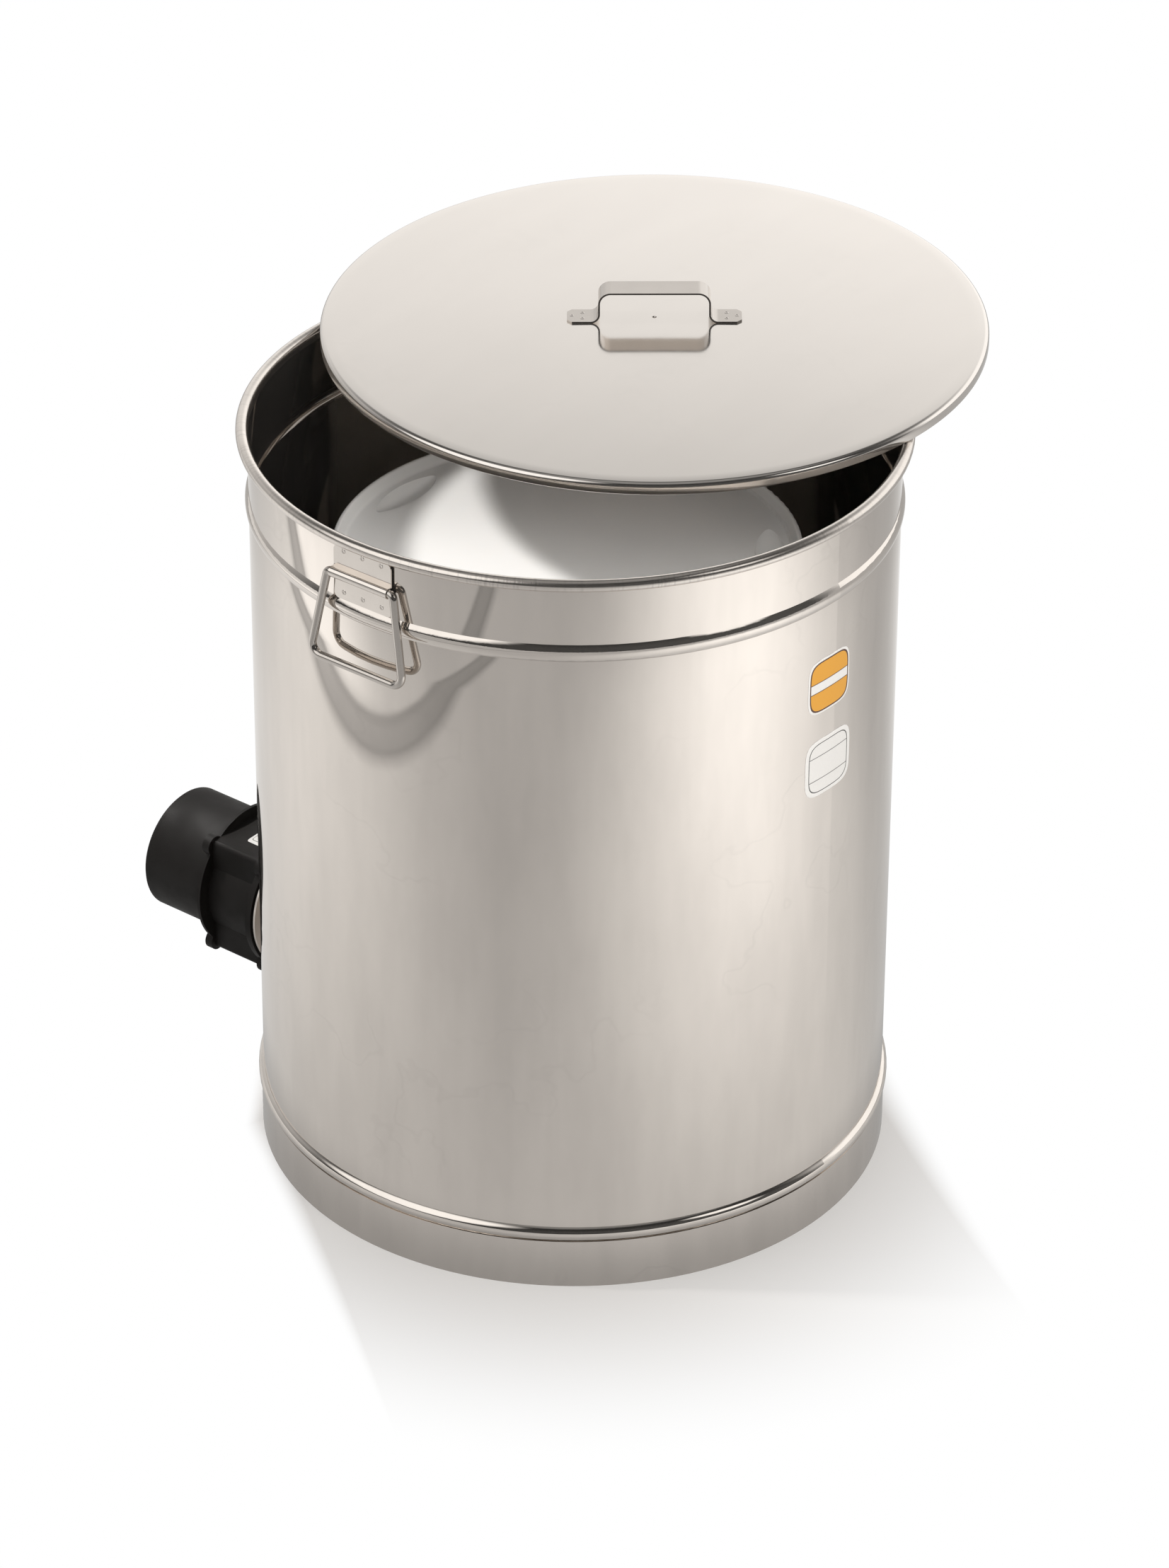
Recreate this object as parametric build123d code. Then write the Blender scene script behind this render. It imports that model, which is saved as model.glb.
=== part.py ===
from build123d import *
import os
from math import asin, atan2, cos, hypot, pi, radians, sin, sqrt, tan

# Honey melting tank: a stainless drum with a lift-off lid, a bucket inside and a duct fan low on the wall.
# Millimetres. The origin is the drum's centre on the ground, +Z is up, the fan points along -X and the
# handles sit on -Y (front) and +Y (back).

# Drum
DRUM_RADIUS = 262.5        # outside of the wall
DRUM_SHEET = 1.0
RIM_HEIGHT = 657.0         # centre of the rolled rim
RIM_ROLL_RADIUS = 5.0      # outside of the roll
RIM_CURL = 300.0           # degrees that the sheet is rolled
TOP_BEAD_DROP = 61.8       # rim centre down to the middle of the top bead
TOP_BEAD_WIDTH = 14.6
TOP_BEAD_RISE = 2.8
LOW_BEAD_WIDTH = 12.6
LOW_BEAD_RISE = 4.2
FOOT_HEIGHT = 44.0
FOOT_SHEET = 1.8
FOOT_FLANGE = 14.0         # turned-in edge that stands on the ground
FOOT_SEAM = 0.6            # foot ring to the lower bead
WALL_OVERLAP = 24.0        # how far the wall reaches down inside the foot ring
FLOOR_SHEET = 1.2
FLOOR_STEP = 2.0           # floor above the top of the foot ring
FLOOR_LIP = 11.0

# Fits
SNUG_GAP = 0.05            # rolled, welded or pushed together
PIVOT_GAP = 0.1            # bail wire in its strap
TURN_GAP = 0.05            # shaft in the motor
SEAT_GAP = 0.3             # loose pieces that lie on each other

# Handles on the wall
STRAP_SHEET = 1.0
STRAP_WIDTH = 58.0
STRAP_HALF_HEIGHT = 23.5
STRAP_CORNER = 5.0
BAIL_WIRE_RADIUS = 3.4
BAIL_AXIS_DROP = 30.0      # rim centre down to the bail's pivot
BAIL_LENGTH = 75.5
BAIL_FOOT_WIDTH = 94.0
BAIL_TOP_BEND = 4.5
BAIL_FOOT_BEND = 9.0
BAIL_SIDE_GAP = 0.5        # strap edge to the start of the bail's top bend
BAIL_BUTT_GAP = 0.4        # between the wire's ends, hidden in the strap
BAIL_LEAN = 4.8            # degrees that the hanging bail stands off the wall

# Lid, pushed back over the rim
LID_SHEET = 0.8
LID_SKIRT = 10.0
LID_HEM = 4.5
LID_SHOULDER = 4.0
LID_CROWN = 3.9            # rise of the top towards its middle
LID_CLEARANCE = 0.7        # skirt to rim when the lid is closed
LID_VENT_RADIUS = 1.8
LID_SHIFT = 161.0
LID_SHIFT_AZIMUTH = 105.0
LID_TILT = 0.9
LID_GAP = 0.5              # under the skirt where it crosses the rim
LID_HANDLE_AZIMUTH = 38.5
GRIP_LENGTH = 143.0
GRIP_BRIDGE = 92.0
GRIP_HEIGHT = 27.3
GRIP_WIDTH = 22.0
GRIP_STRIP = 1.5
GRIP_LOW_BEND = 7.0
GRIP_TOP_BEND = 9.5
GRIP_CORNER = 4.0

# Bucket, standing upside down, and its stand
BUCKET_SHIFT = (-4.9, -3.9)    # off the drum's axis
BUCKET_BASE_RADIUS = 190.6
BUCKET_MOUTH_RADIUS = 207.0
BUCKET_HEIGHT = 376.9
BUCKET_WALL = 2.5
BUCKET_RING_HEIGHT = 8.7
BUCKET_RING_WIDTH = 8.1
BUCKET_RING_SLOPE = 4.1
BUCKET_RING_EDGE = 3.0
BUCKET_CHAMFER = 46.0
BUCKET_COLLAR_HEIGHT = 42.0
BUCKET_COLLAR = 7.0
BUCKET_GRIPS = 5
BUCKET_GRIP_AZIMUTH = 38.4
BUCKET_GRIP_INSET = 26.6   # from the edge of the base to the hollow's middle line
BUCKET_GRIP_LENGTH = 88.0
BUCKET_GRIP_RADIUS = 13.0
BUCKET_GRIP_LIFT = 3.0     # middle of the round hollow above the base
COVER_RIM = 5.0
COVER_HEIGHT = 16.0
STAND_HEIGHT = 122.0       # drum floor up to the bucket
STAND_RADIUS = 218.0
STAND_SHEET = 2.0
STAND_SLOT = 58.0
STAND_SLOT_WIDTH = 14.0
STAND_SLOT_ROWS = ((85.0, 7), (160.0, 13))
LEG_COUNT = 3
LEG_WIDTH = 26.0
LEG_SHEET = 2.0
LEG_RADIUS = 200.0
LEG_TOE = 22.0
LEG_BEND = 3.0

# Air inlet and fan
FAN_HEIGHT = 90.0          # fan axis above the ground
PIPE_RADIUS = 30.0
PIPE_SHEET = 1.5
PIPE_INSIDE = 2.0          # pipe end inside the drum wall
PLATE_STANDOFF = 40.6      # drum wall to the adapter plate
PLATE_SHEET = 2.0
PLATE_MARGIN = 2.0         # plate's edge inside the housing's flange
GASKET = 1.5
FLANGE_RADIUS = 65.0
LUG_CIRCLE_RADIUS = 64.4
LUG_ANGLE = 48.9           # degrees up from level, on both sides
LUG_RADIUS = 9.0
HOUSING_LENGTH = 58.3
HOUSING_RADIUS = 54.0
HOUSING_WIDTH = 92.0       # across the square corners
HOUSING_HEIGHT = 109.0
HOUSING_CORNER = 4.0
DUCT_RADIUS = 51.0
INNER_FLANGE = 6.0
SPIGOT_RADIUS = 55.0
SPIGOT_WALL = 3.0
SPIGOT_FLANGE = 3.0
SPIGOT_EAR = 7.5           # thickness at the screws
SPIGOT_EAR_GAP = 2.5       # between the screw ears and the pipe
SPIGOT_LENGTH = 74.5
SPIGOT_CHAMFER = 2.0
SCREW_RADIUS = 2.0
SCREW_LENGTH = 18.0
SCREW_HEAD_RADIUS = 4.0
SCREW_HEAD_HEIGHT = 2.8
MOUNT_SHEET = 3.0
MOUNT_STRUT = 8.0
MOUNT_INSET = 5.0          # housing end to the motor mount
MOTOR_RADIUS = 21.0
MOTOR_LENGTH = 25.0
SHAFT_RADIUS = 3.0
HUB_RADIUS = 19.0
HUB_LENGTH = 20.0
HUB_GAP = 2.0              # motor to impeller
BLADE_COUNT = 7
BLADE_THICKNESS = 1.8
BLADE_CAMBER = 2.4
BLADE_ROOT_CHORD = 19.0
BLADE_TIP_CHORD = 25.0
BLADE_ROOT_PITCH = 48.0
BLADE_TIP_PITCH = 27.0
BLADE_TIP_GAP = 2.2
GRILLE_SHEET = 1.5
GRILLE_EDGE = 2.0          # clamped outside the spigot's bore
GRILLE_BAR = 2.5
GRILLE_RINGS = 3
HEATER_LENGTH = 20.0
HEATER_INSET = 3.0         # adapter plate to the heater
CARRIER_SHEET = 1.5
FIN_COUNT = 11
FIN_SHEET = 1.0
HEATER_BAR = 6.0
GLAND_HEX = 9.5
GLAND_HEX_LENGTH = 6.0
GLAND_CAP_RADIUS = 7.5
GLAND_CAP_LENGTH = 11.0
GLAND_BORE = 3.5
GLAND_STEM_RADIUS = 6.0
GLAND_PAD = 3.0            # flat boss on the housing

# Sizes that follow
WALL_MIDDLE = DRUM_RADIUS - DRUM_SHEET / 2
WALL_INSIDE = DRUM_RADIUS - DRUM_SHEET
ROLL_MIDDLE = RIM_ROLL_RADIUS - DRUM_SHEET / 2
RIM_CENTRE = WALL_MIDDLE + ROLL_MIDDLE
RIM_OUTSIDE = RIM_CENTRE + RIM_ROLL_RADIUS
RIM_TOP = RIM_HEIGHT + RIM_ROLL_RADIUS
FLOOR_TOP = FOOT_HEIGHT + FLOOR_STEP + FLOOR_SHEET
BUCKET_SEAT = FLOOR_TOP + STAND_HEIGHT
BAIL_AXIS_HEIGHT = RIM_HEIGHT - BAIL_AXIS_DROP
BAIL_AXIS_RADIUS = DRUM_RADIUS + SEAT_GAP + BAIL_WIRE_RADIUS
LID_INSIDE = RIM_OUTSIDE + LID_CLEARANCE
LID_RADIUS = LID_INSIDE + 2 * LID_SHEET
LID_FLAT_RADIUS = LID_RADIUS - LID_SHOULDER
LID_SEAT = RIM_TOP + LID_GAP
PLATE_AT = DRUM_RADIUS + PLATE_STANDOFF
HOUSING_AT = PLATE_AT + PLATE_SHEET + GASKET
SPIGOT_AT = HOUSING_AT + HOUSING_LENGTH
MOUNT_AT = HOUSING_AT + MOUNT_INSET
MOTOR_AT = MOUNT_AT + MOUNT_SHEET
IMPELLER_AT = MOTOR_AT + MOTOR_LENGTH + HUB_GAP
SPIGOT_BORE = SPIGOT_RADIUS - SPIGOT_WALL
PIPE_BORE = PIPE_RADIUS - PIPE_SHEET


# Helpers


def sheet_ring(path, sheet):
    """A sheet-metal ring: a path of (radius, height) given a thickness and turned about the drum axis."""
    return revolve(Plane.XZ * trace(path, sheet), Axis.Z)


def bead(low, width, rise):
    """A rolled bead in the wall's middle line, from its low edge upwards."""
    return ThreePointArc(
        (WALL_MIDDLE, low),
        (WALL_MIDDLE + rise, low + width / 2),
        (WALL_MIDDLE, low + width),
    )


def fan_plane(distance):
    """Plane square to the fan axis, at a distance from the drum axis, facing away from the drum."""
    return Plane(origin=(-distance, 0, FAN_HEIGHT), x_dir=(0, 1, 0), z_dir=(-1, 0, 0))


def along_fan(sketch, start, length):
    """A sketch square to the fan axis, extruded away from the drum."""
    return extrude(fan_plane(start) * sketch, length)


def lug_places():
    """The four screw places, at the corners of an upright rectangle about the fan axis."""
    angles = (LUG_ANGLE, 180 - LUG_ANGLE, 180 + LUG_ANGLE, 360 - LUG_ANGLE)
    return [Rot(0, 0, angle) * Pos(LUG_CIRCLE_RADIUS, 0, 0) for angle in angles]


def lugs(margin=0):
    """The four screw lugs as a sketch, drawn in by a margin."""
    width = 2 * (LUG_RADIUS - margin)
    root = LUG_CIRCLE_RADIUS - DUCT_RADIUS
    sketch = Sketch()
    for place in lug_places():
        sketch += place * Circle(width / 2)
        sketch += place * Rectangle(root, width, align=(Align.MAX, Align.CENTER))
    return sketch


def lugged_ring(bore, margin=0):
    """Ring flange with its screw lugs, as a sketch."""
    return Circle(FLANGE_RADIUS - margin) + lugs(margin) - Circle(bore)


def screw_holes(start, length, radius):
    """Holes at the screw places, along the fan axis."""
    return along_fan(Sketch() + [place * Circle(radius) for place in lug_places()], start, length)


def solids_as_one(solids):
    """Several separate solids kept as one piece."""
    return Compound(children=[solid for piece in solids for solid in piece.solids()])


# Drum


def make_tank_shell():
    """Wall sheet with two beads, the curled rim and the hole for the air pipe."""
    wall_foot = FOOT_HEIGHT - WALL_OVERLAP
    low_bead = FOOT_HEIGHT + FOOT_SEAM
    top_bead = RIM_HEIGHT - TOP_BEAD_DROP - TOP_BEAD_WIDTH / 2
    path = [
        Line((WALL_MIDDLE, wall_foot), (WALL_MIDDLE, low_bead)),
        bead(low_bead, LOW_BEAD_WIDTH, LOW_BEAD_RISE),
        Line((WALL_MIDDLE, low_bead + LOW_BEAD_WIDTH), (WALL_MIDDLE, top_bead)),
        bead(top_bead, TOP_BEAD_WIDTH, TOP_BEAD_RISE),
        Line((WALL_MIDDLE, top_bead + TOP_BEAD_WIDTH), (WALL_MIDDLE, RIM_HEIGHT)),
        CenterArc((RIM_CENTRE, RIM_HEIGHT), ROLL_MIDDLE, 180, -RIM_CURL),
    ]
    return sheet_ring(path, DRUM_SHEET) - along_fan(Circle(PIPE_RADIUS + SNUG_GAP), 0, PLATE_AT)


def make_foot_ring():
    """Hoop round the foot of the wall, with a turned-in flange to stand on."""
    middle = DRUM_RADIUS + FOOT_SHEET / 2
    low = FOOT_SHEET / 2
    path = Polyline((middle, FOOT_HEIGHT), (middle, low), (middle - FOOT_FLANGE, low))
    return sheet_ring(path, FOOT_SHEET)


def make_floor_pan():
    """Floor of the drum, with its lip turned up inside the wall."""
    height = FLOOR_TOP - FLOOR_SHEET / 2
    edge = WALL_INSIDE - FLOOR_SHEET / 2
    path = Polyline((0, height), (edge, height), (edge, height + FLOOR_LIP))
    return sheet_ring(path, FLOOR_SHEET)


# Handles on the wall


def make_strap():
    """Flat strap on the wall at -Y, with a half-round channel across it for the bail."""
    flat = -(DRUM_RADIUS + STRAP_SHEET / 2)
    axis = -BAIL_AXIS_RADIUS
    channel = BAIL_WIRE_RADIUS + PIVOT_GAP + STRAP_SHEET / 2
    path = [
        Line((flat, -STRAP_HALF_HEIGHT), (flat, -channel)),
        Line((flat, -channel), (axis, -channel)),
        ThreePointArc((axis, -channel), (axis - channel, 0), (axis, channel)),
        Line((axis, channel), (flat, channel)),
        Line((flat, channel), (flat, STRAP_HALF_HEIGHT)),
    ]
    strip = extrude(Plane.YZ * trace(path, STRAP_SHEET), STRAP_WIDTH / 2, both=True)
    outline = Plane.XZ * RectangleRounded(STRAP_WIDTH, 2 * STRAP_HALF_HEIGHT, STRAP_CORNER)
    return Pos(0, 0, BAIL_AXIS_HEIGHT) * (strip & extrude(outline, 2 * DRUM_RADIUS))


def make_bail():
    """Wire bail that hangs from the strap at -Y, its ends meeting inside the strap."""
    foot = BAIL_FOOT_WIDTH / 2
    straight = STRAP_WIDTH / 2 + BAIL_SIDE_GAP
    splay = asin((foot - straight) / hypot(BAIL_LENGTH, foot - straight))
    top = straight + BAIL_TOP_BEND * tan((radians(90) - splay) / 2)
    butt = BAIL_BUTT_GAP / 2
    path = FilletPolyline(
        (-butt, 0), (-top, 0), (-foot, -BAIL_LENGTH), (foot, -BAIL_LENGTH), (top, 0), (butt, 0),
        radius=[BAIL_TOP_BEND, BAIL_FOOT_BEND, BAIL_FOOT_BEND, BAIL_TOP_BEND],
    )
    upright = Plane.XZ * path
    section = Plane(upright @ 0, z_dir=upright % 0) * Circle(BAIL_WIRE_RADIUS)
    wire = sweep(section, path=upright)
    return Pos(0, -BAIL_AXIS_RADIUS, BAIL_AXIS_HEIGHT) * Rot(-BAIL_LEAN, 0, 0) * wire


def on_back(piece):
    """The same piece on the opposite side of the drum."""
    return Rot(0, 0, 180) * piece


# Lid


def place_lid(piece):
    """From the lid's own frame, skirt down on zero, to where it lies across the rim."""
    azimuth = radians(LID_SHIFT_AZIMUTH)
    shift = Vector(cos(azimuth), sin(azimuth), 0) * LID_SHIFT
    across = Axis(shift * 0.5 + Vector(0, 0, LID_SEAT), (-sin(azimuth), cos(azimuth), 0))
    return (Pos(shift.X, shift.Y, LID_SEAT) * piece).rotate(across, -LID_TILT)


def lid_top(radius):
    """Height of the crowned top above the skirt's edge, at a radius."""
    return LID_SKIRT + LID_CROWN * (1 - (radius / LID_FLAT_RADIUS) ** 2)


def make_lid():
    """Spun lid: a slightly crowned top, a rounded shoulder and a hemmed skirt, with a vent in the middle."""
    fold = LID_INSIDE + LID_SHEET
    level = LID_SKIRT - LID_SHOULDER
    under = LID_SKIRT - LID_SHEET
    section = make_face([
        Polyline((fold, level), (fold, LID_HEM), (LID_INSIDE, LID_HEM), (LID_INSIDE, 0)),
        Polyline((LID_INSIDE, 0), (LID_RADIUS, 0), (LID_RADIUS, level)),
        RadiusArc((LID_FLAT_RADIUS, LID_SKIRT), (LID_RADIUS, level), LID_SHOULDER),
        TangentArc((0, LID_SKIRT + LID_CROWN), (LID_FLAT_RADIUS, LID_SKIRT), tangent=(1, 0)),
        Line((0, LID_SKIRT + LID_CROWN), (0, under + LID_CROWN)),
        TangentArc((0, under + LID_CROWN), (LID_FLAT_RADIUS, under), tangent=(1, 0)),
        RadiusArc((LID_FLAT_RADIUS, under), (fold, level), LID_SHOULDER - LID_SHEET),
    ])
    blank = revolve(Plane.XZ * section, Axis.Z)
    return place_lid(blank - Cylinder(LID_VENT_RADIUS, 4 * LID_SKIRT))


def make_lid_handle():
    """Bent strip handle, its two tabs on the lid's crown."""
    low = GRIP_STRIP / 2
    leg = GRIP_BRIDGE / 2 - GRIP_STRIP / 2
    top = GRIP_HEIGHT - GRIP_STRIP / 2
    end = GRIP_LENGTH / 2
    path = FilletPolyline(
        (-end, low), (-leg, low), (-leg, top), (leg, top), (leg, low), (end, low),
        radius=[GRIP_LOW_BEND, GRIP_TOP_BEND, GRIP_TOP_BEND, GRIP_LOW_BEND],
    )
    strip = extrude(Plane.XZ * trace(path, GRIP_STRIP), GRIP_WIDTH / 2, both=True)
    outline = chamfer(Rectangle(GRIP_LENGTH, GRIP_WIDTH).vertices(), GRIP_CORNER)
    strip = strip & extrude(outline, GRIP_HEIGHT)
    seat = lid_top(leg + GRIP_LOW_BEND)
    return place_lid(Pos(0, 0, seat) * Rot(0, 0, LID_HANDLE_AZIMUTH) * strip)


# Bucket and stand


def bucket_side(height):
    """Radius of the bucket's tapered side at a height above its mouth."""
    taper = (BUCKET_MOUTH_RADIUS - BUCKET_BASE_RADIUS) / BUCKET_HEIGHT
    return BUCKET_MOUTH_RADIUS - taper * height


def grip_cutters(base):
    """Spindles along the edge of the bucket's base, which leave pointed hollows."""
    half = BUCKET_GRIP_LENGTH / 2
    bow = ThreePointArc((-half, 0), (0, BUCKET_GRIP_RADIUS), (half, 0))
    spindle = revolve(make_face([bow, Line((half, 0), (-half, 0))]), Axis.X)
    place = BUCKET_BASE_RADIUS - BUCKET_GRIP_INSET
    cutter = Pos(place, 0, base + BUCKET_GRIP_LIFT) * Rot(0, 0, 90) * spindle
    turn = 360 / BUCKET_GRIPS
    return [Rot(0, 0, BUCKET_GRIP_AZIMUTH + number * turn) * cutter for number in range(BUCKET_GRIPS)]


def make_honey_bucket():
    """Plastic bucket, base up, with a standing ring and grip hollows on its base and a collar near its mouth.

    The inside is chamfered under the hollows, so that the wall stays whole behind them.
    """
    mouth = BUCKET_SEAT + BUCKET_WALL
    crest = mouth + BUCKET_HEIGHT
    base = crest - BUCKET_RING_HEIGHT
    foot = BUCKET_BASE_RADIUS - BUCKET_RING_WIDTH
    crown = foot + BUCKET_RING_SLOPE
    ring = ((BUCKET_BASE_RADIUS, crest), (crown, crest), (foot, base))
    outer = make_face(Polyline((0, mouth), (BUCKET_MOUTH_RADIUS, mouth), *ring, (0, base), close=True))
    lean = atan2(BUCKET_MOUTH_RADIUS - BUCKET_BASE_RADIUS, BUCKET_HEIGHT)
    slope = atan2(BUCKET_RING_HEIGHT, BUCKET_RING_SLOPE)
    land = BUCKET_RING_WIDTH - BUCKET_RING_SLOPE - BUCKET_RING_EDGE / tan((pi / 2 + lean) / 2)
    inside = min(BUCKET_RING_EDGE / 2, 0.9 * land * tan((pi - slope) / 2))
    for corner, radius in zip(ring, (BUCKET_RING_EDGE, inside, BUCKET_RING_EDGE)):
        outer = fillet(outer.vertices().sort_by_distance(corner)[0], radius)
    top = base - BUCKET_WALL
    side = bucket_side(top - mouth) - BUCKET_WALL
    wide = BUCKET_MOUTH_RADIUS - BUCKET_WALL
    inner = make_face(Polyline((0, mouth), (wide, mouth), (side, top), (0, top), close=True))
    inner = chamfer(inner.vertices().sort_by_distance((side, top))[0], BUCKET_CHAMFER)
    body = revolve(Plane.XZ * outer, Axis.Z)
    cavity = revolve(Plane.XZ * inner, Axis.Z)
    collar_disc = Plane.XY.offset(mouth + BUCKET_COLLAR_HEIGHT) * Circle(BUCKET_MOUTH_RADIUS + BUCKET_COLLAR)
    collar = extrude(collar_disc, BUCKET_WALL)
    return Pos(*BUCKET_SHIFT, 0) * (body + collar - cavity - grip_cutters(base))


def make_bucket_cover():
    """Snap-on cover of the bucket, underneath because the bucket stands upside down."""
    rim = BUCKET_MOUTH_RADIUS + COVER_RIM
    outer = extrude(Plane.XY.offset(BUCKET_SEAT) * Circle(rim), COVER_HEIGHT)
    inner = extrude(Plane.XY.offset(BUCKET_SEAT + BUCKET_WALL) * Circle(rim - BUCKET_WALL), COVER_HEIGHT)
    lip_inside = Circle(rim) - Circle(BUCKET_MOUTH_RADIUS + SNUG_GAP)
    lip = extrude(Plane.XY.offset(BUCKET_SEAT + COVER_HEIGHT - BUCKET_WALL) * lip_inside, BUCKET_WALL)
    return Pos(*BUCKET_SHIFT, 0) * (outer - inner + lip)


def make_stand_plate():
    """Slotted plate that carries the bucket and lets the warm air up."""
    plate = Circle(STAND_RADIUS)
    for radius, count in STAND_SLOT_ROWS:
        for place in PolarLocations(radius, count):
            plate -= place * SlotOverall(STAND_SLOT, STAND_SLOT_WIDTH)
    return extrude(Plane.XY.offset(BUCKET_SEAT) * plate, -STAND_SHEET)


def make_stand_legs():
    """Bent flat-bar legs between the floor and the plate."""
    low = FLOOR_TOP + LEG_SHEET / 2
    high = BUCKET_SEAT - STAND_SHEET - LEG_SHEET / 2
    path = FilletPolyline(
        (LEG_RADIUS - LEG_TOE, high), (LEG_RADIUS, high), (LEG_RADIUS, low), (LEG_RADIUS - LEG_TOE, low),
        radius=LEG_BEND,
    )
    leg = extrude(Plane.XZ * trace(path, LEG_SHEET), LEG_WIDTH / 2, both=True)
    return solids_as_one([Rot(0, 0, number * 360 / LEG_COUNT) * leg for number in range(LEG_COUNT)])


# Air inlet


def make_stub_pipe():
    """Pipe from inside the drum wall to the adapter plate."""
    start = sqrt(WALL_INSIDE**2 - PIPE_RADIUS**2) - PIPE_INSIDE
    return along_fan(Circle(PIPE_RADIUS) - Circle(PIPE_BORE), start, PLATE_AT + PLATE_SHEET - start)


def make_adapter_plate():
    """Stainless ring plate on the pipe's end, with four screw lugs."""
    plate = along_fan(lugged_ring(PIPE_RADIUS + SNUG_GAP, PLATE_MARGIN), PLATE_AT, PLATE_SHEET)
    return plate - screw_holes(PLATE_AT, PLATE_SHEET, SCREW_RADIUS + SNUG_GAP)


def make_flange_gasket():
    """Seal between the adapter plate and the fan housing."""
    outside = LUG_CIRCLE_RADIUS - SCREW_RADIUS - GASKET
    return along_fan(Circle(outside) - Circle(DUCT_RADIUS), HOUSING_AT - GASKET, GASKET)


def heater_start():
    """Distance from the drum axis to the near end of the heater."""
    return PLATE_AT - HEATER_INSET - HEATER_LENGTH


def make_heater_carrier():
    """Band that holds the heating block in the pipe."""
    band = PIPE_BORE - SNUG_GAP
    return along_fan(Circle(band) - Circle(band - CARRIER_SHEET), heater_start(), HEATER_LENGTH)


def make_heater_fins():
    """Heating block: two bars crossed by thin fins."""
    reach = PIPE_BORE - CARRIER_SHEET - 2 * SNUG_GAP
    spacing = 2 * reach / (FIN_COUNT + 1)
    block = Sketch()
    for side in (-1, 1):
        block += Pos(0, side * reach / 3) * Rectangle(2 * reach, HEATER_BAR)
    for number in range(FIN_COUNT):
        block += Pos((number + 1) * spacing - reach, 0) * Rectangle(FIN_SHEET, 2 * reach)
    return along_fan(block & Circle(reach), heater_start(), HEATER_LENGTH)


# Fan


def make_fan_housing():
    """Moulded housing: a barrel with square corners for the screws and a lugged flange on the drum's side."""
    corners = RectangleRounded(HOUSING_WIDTH, HOUSING_HEIGHT, HOUSING_CORNER)
    body = along_fan(Circle(HOUSING_RADIUS) + corners, HOUSING_AT, HOUSING_LENGTH)
    body += along_fan(lugged_ring(DUCT_RADIUS), HOUSING_AT, INNER_FLANGE)
    pad_at = Plane((-gland_distance(), 0, FAN_HEIGHT), x_dir=(0, 0, 1), z_dir=(0, 1, 0))
    body += extrude(pad_at * Circle(GLAND_HEX + GLAND_PAD / 2), HOUSING_RADIUS + GLAND_PAD)
    body -= along_fan(Circle(DUCT_RADIUS), HOUSING_AT, HOUSING_LENGTH)
    body -= screw_holes(HOUSING_AT, SCREW_LENGTH, SCREW_RADIUS + SNUG_GAP)
    body -= screw_holes(SPIGOT_AT - SCREW_LENGTH, SCREW_LENGTH, SCREW_RADIUS + SNUG_GAP)
    return body - extrude(pad_at * Circle(GLAND_STEM_RADIUS + SNUG_GAP), FLANGE_RADIUS)


def make_fan_spigot():
    """Plain pipe spigot on a thin flange with thick screw ears, seated over the intake grille."""
    body = along_fan(lugged_ring(SPIGOT_BORE), SPIGOT_AT, SPIGOT_FLANGE)
    body += along_fan(lugs() - Circle(SPIGOT_RADIUS + SPIGOT_EAR_GAP), SPIGOT_AT, SPIGOT_EAR)
    body += along_fan(Circle(SPIGOT_RADIUS) - Circle(SPIGOT_BORE), SPIGOT_AT, SPIGOT_LENGTH)
    mouth = body.faces().sort_by(Axis.X)[0].outer_wire().edges()
    body = chamfer(mouth, SPIGOT_CHAMFER)
    body -= along_fan(Circle(grille_radius() + SNUG_GAP), SPIGOT_AT, GRILLE_SHEET)
    return body - screw_holes(SPIGOT_AT, SPIGOT_EAR, SCREW_RADIUS + SNUG_GAP)


def grille_radius():
    """The guard is clamped by its edge between housing and spigot."""
    return SPIGOT_BORE + GRILLE_EDGE


def make_intake_grille():
    """Guard of flat rings and a cross, clamped under the spigot."""
    edge = grille_radius()
    pitch = (edge - GRILLE_BAR) / GRILLE_RINGS
    rings = Sketch()
    for number in range(1, GRILLE_RINGS + 1):
        outside = GRILLE_BAR + number * pitch
        rings += Circle(outside) - Circle(outside - GRILLE_BAR)
    for angle in (0, 90):
        rings += Rot(0, 0, angle) * Rectangle(2 * edge - GRILLE_BAR, GRILLE_BAR)
    return along_fan(rings, SPIGOT_AT, GRILLE_SHEET)


def make_motor_mount():
    """Spider that carries the motor in the middle of the housing."""
    spider = Circle(MOTOR_RADIUS)
    for angle in (0, 90):
        spider += Rot(0, 0, angle) * Rectangle(2 * DUCT_RADIUS, MOUNT_STRUT)
    return along_fan(spider & Circle(DUCT_RADIUS - SNUG_GAP), MOUNT_AT, MOUNT_SHEET)


def make_fan_motor():
    """Round motor can on the spider, bored for its shaft."""
    can = along_fan(Circle(MOTOR_RADIUS), MOTOR_AT, MOTOR_LENGTH)
    can = chamfer(can.edges().sort_by(Axis.X)[0], MOTOR_RADIUS / 10)
    return can - along_fan(Circle(SHAFT_RADIUS + TURN_GAP), MOTOR_AT + MOTOR_LENGTH / 4, MOTOR_LENGTH)


def make_motor_shaft():
    """Shaft from the motor into the impeller's hub."""
    start = MOTOR_AT + MOTOR_LENGTH / 3
    return along_fan(Circle(SHAFT_RADIUS), start, IMPELLER_AT + HUB_LENGTH * 3 / 4 - start)


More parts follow.
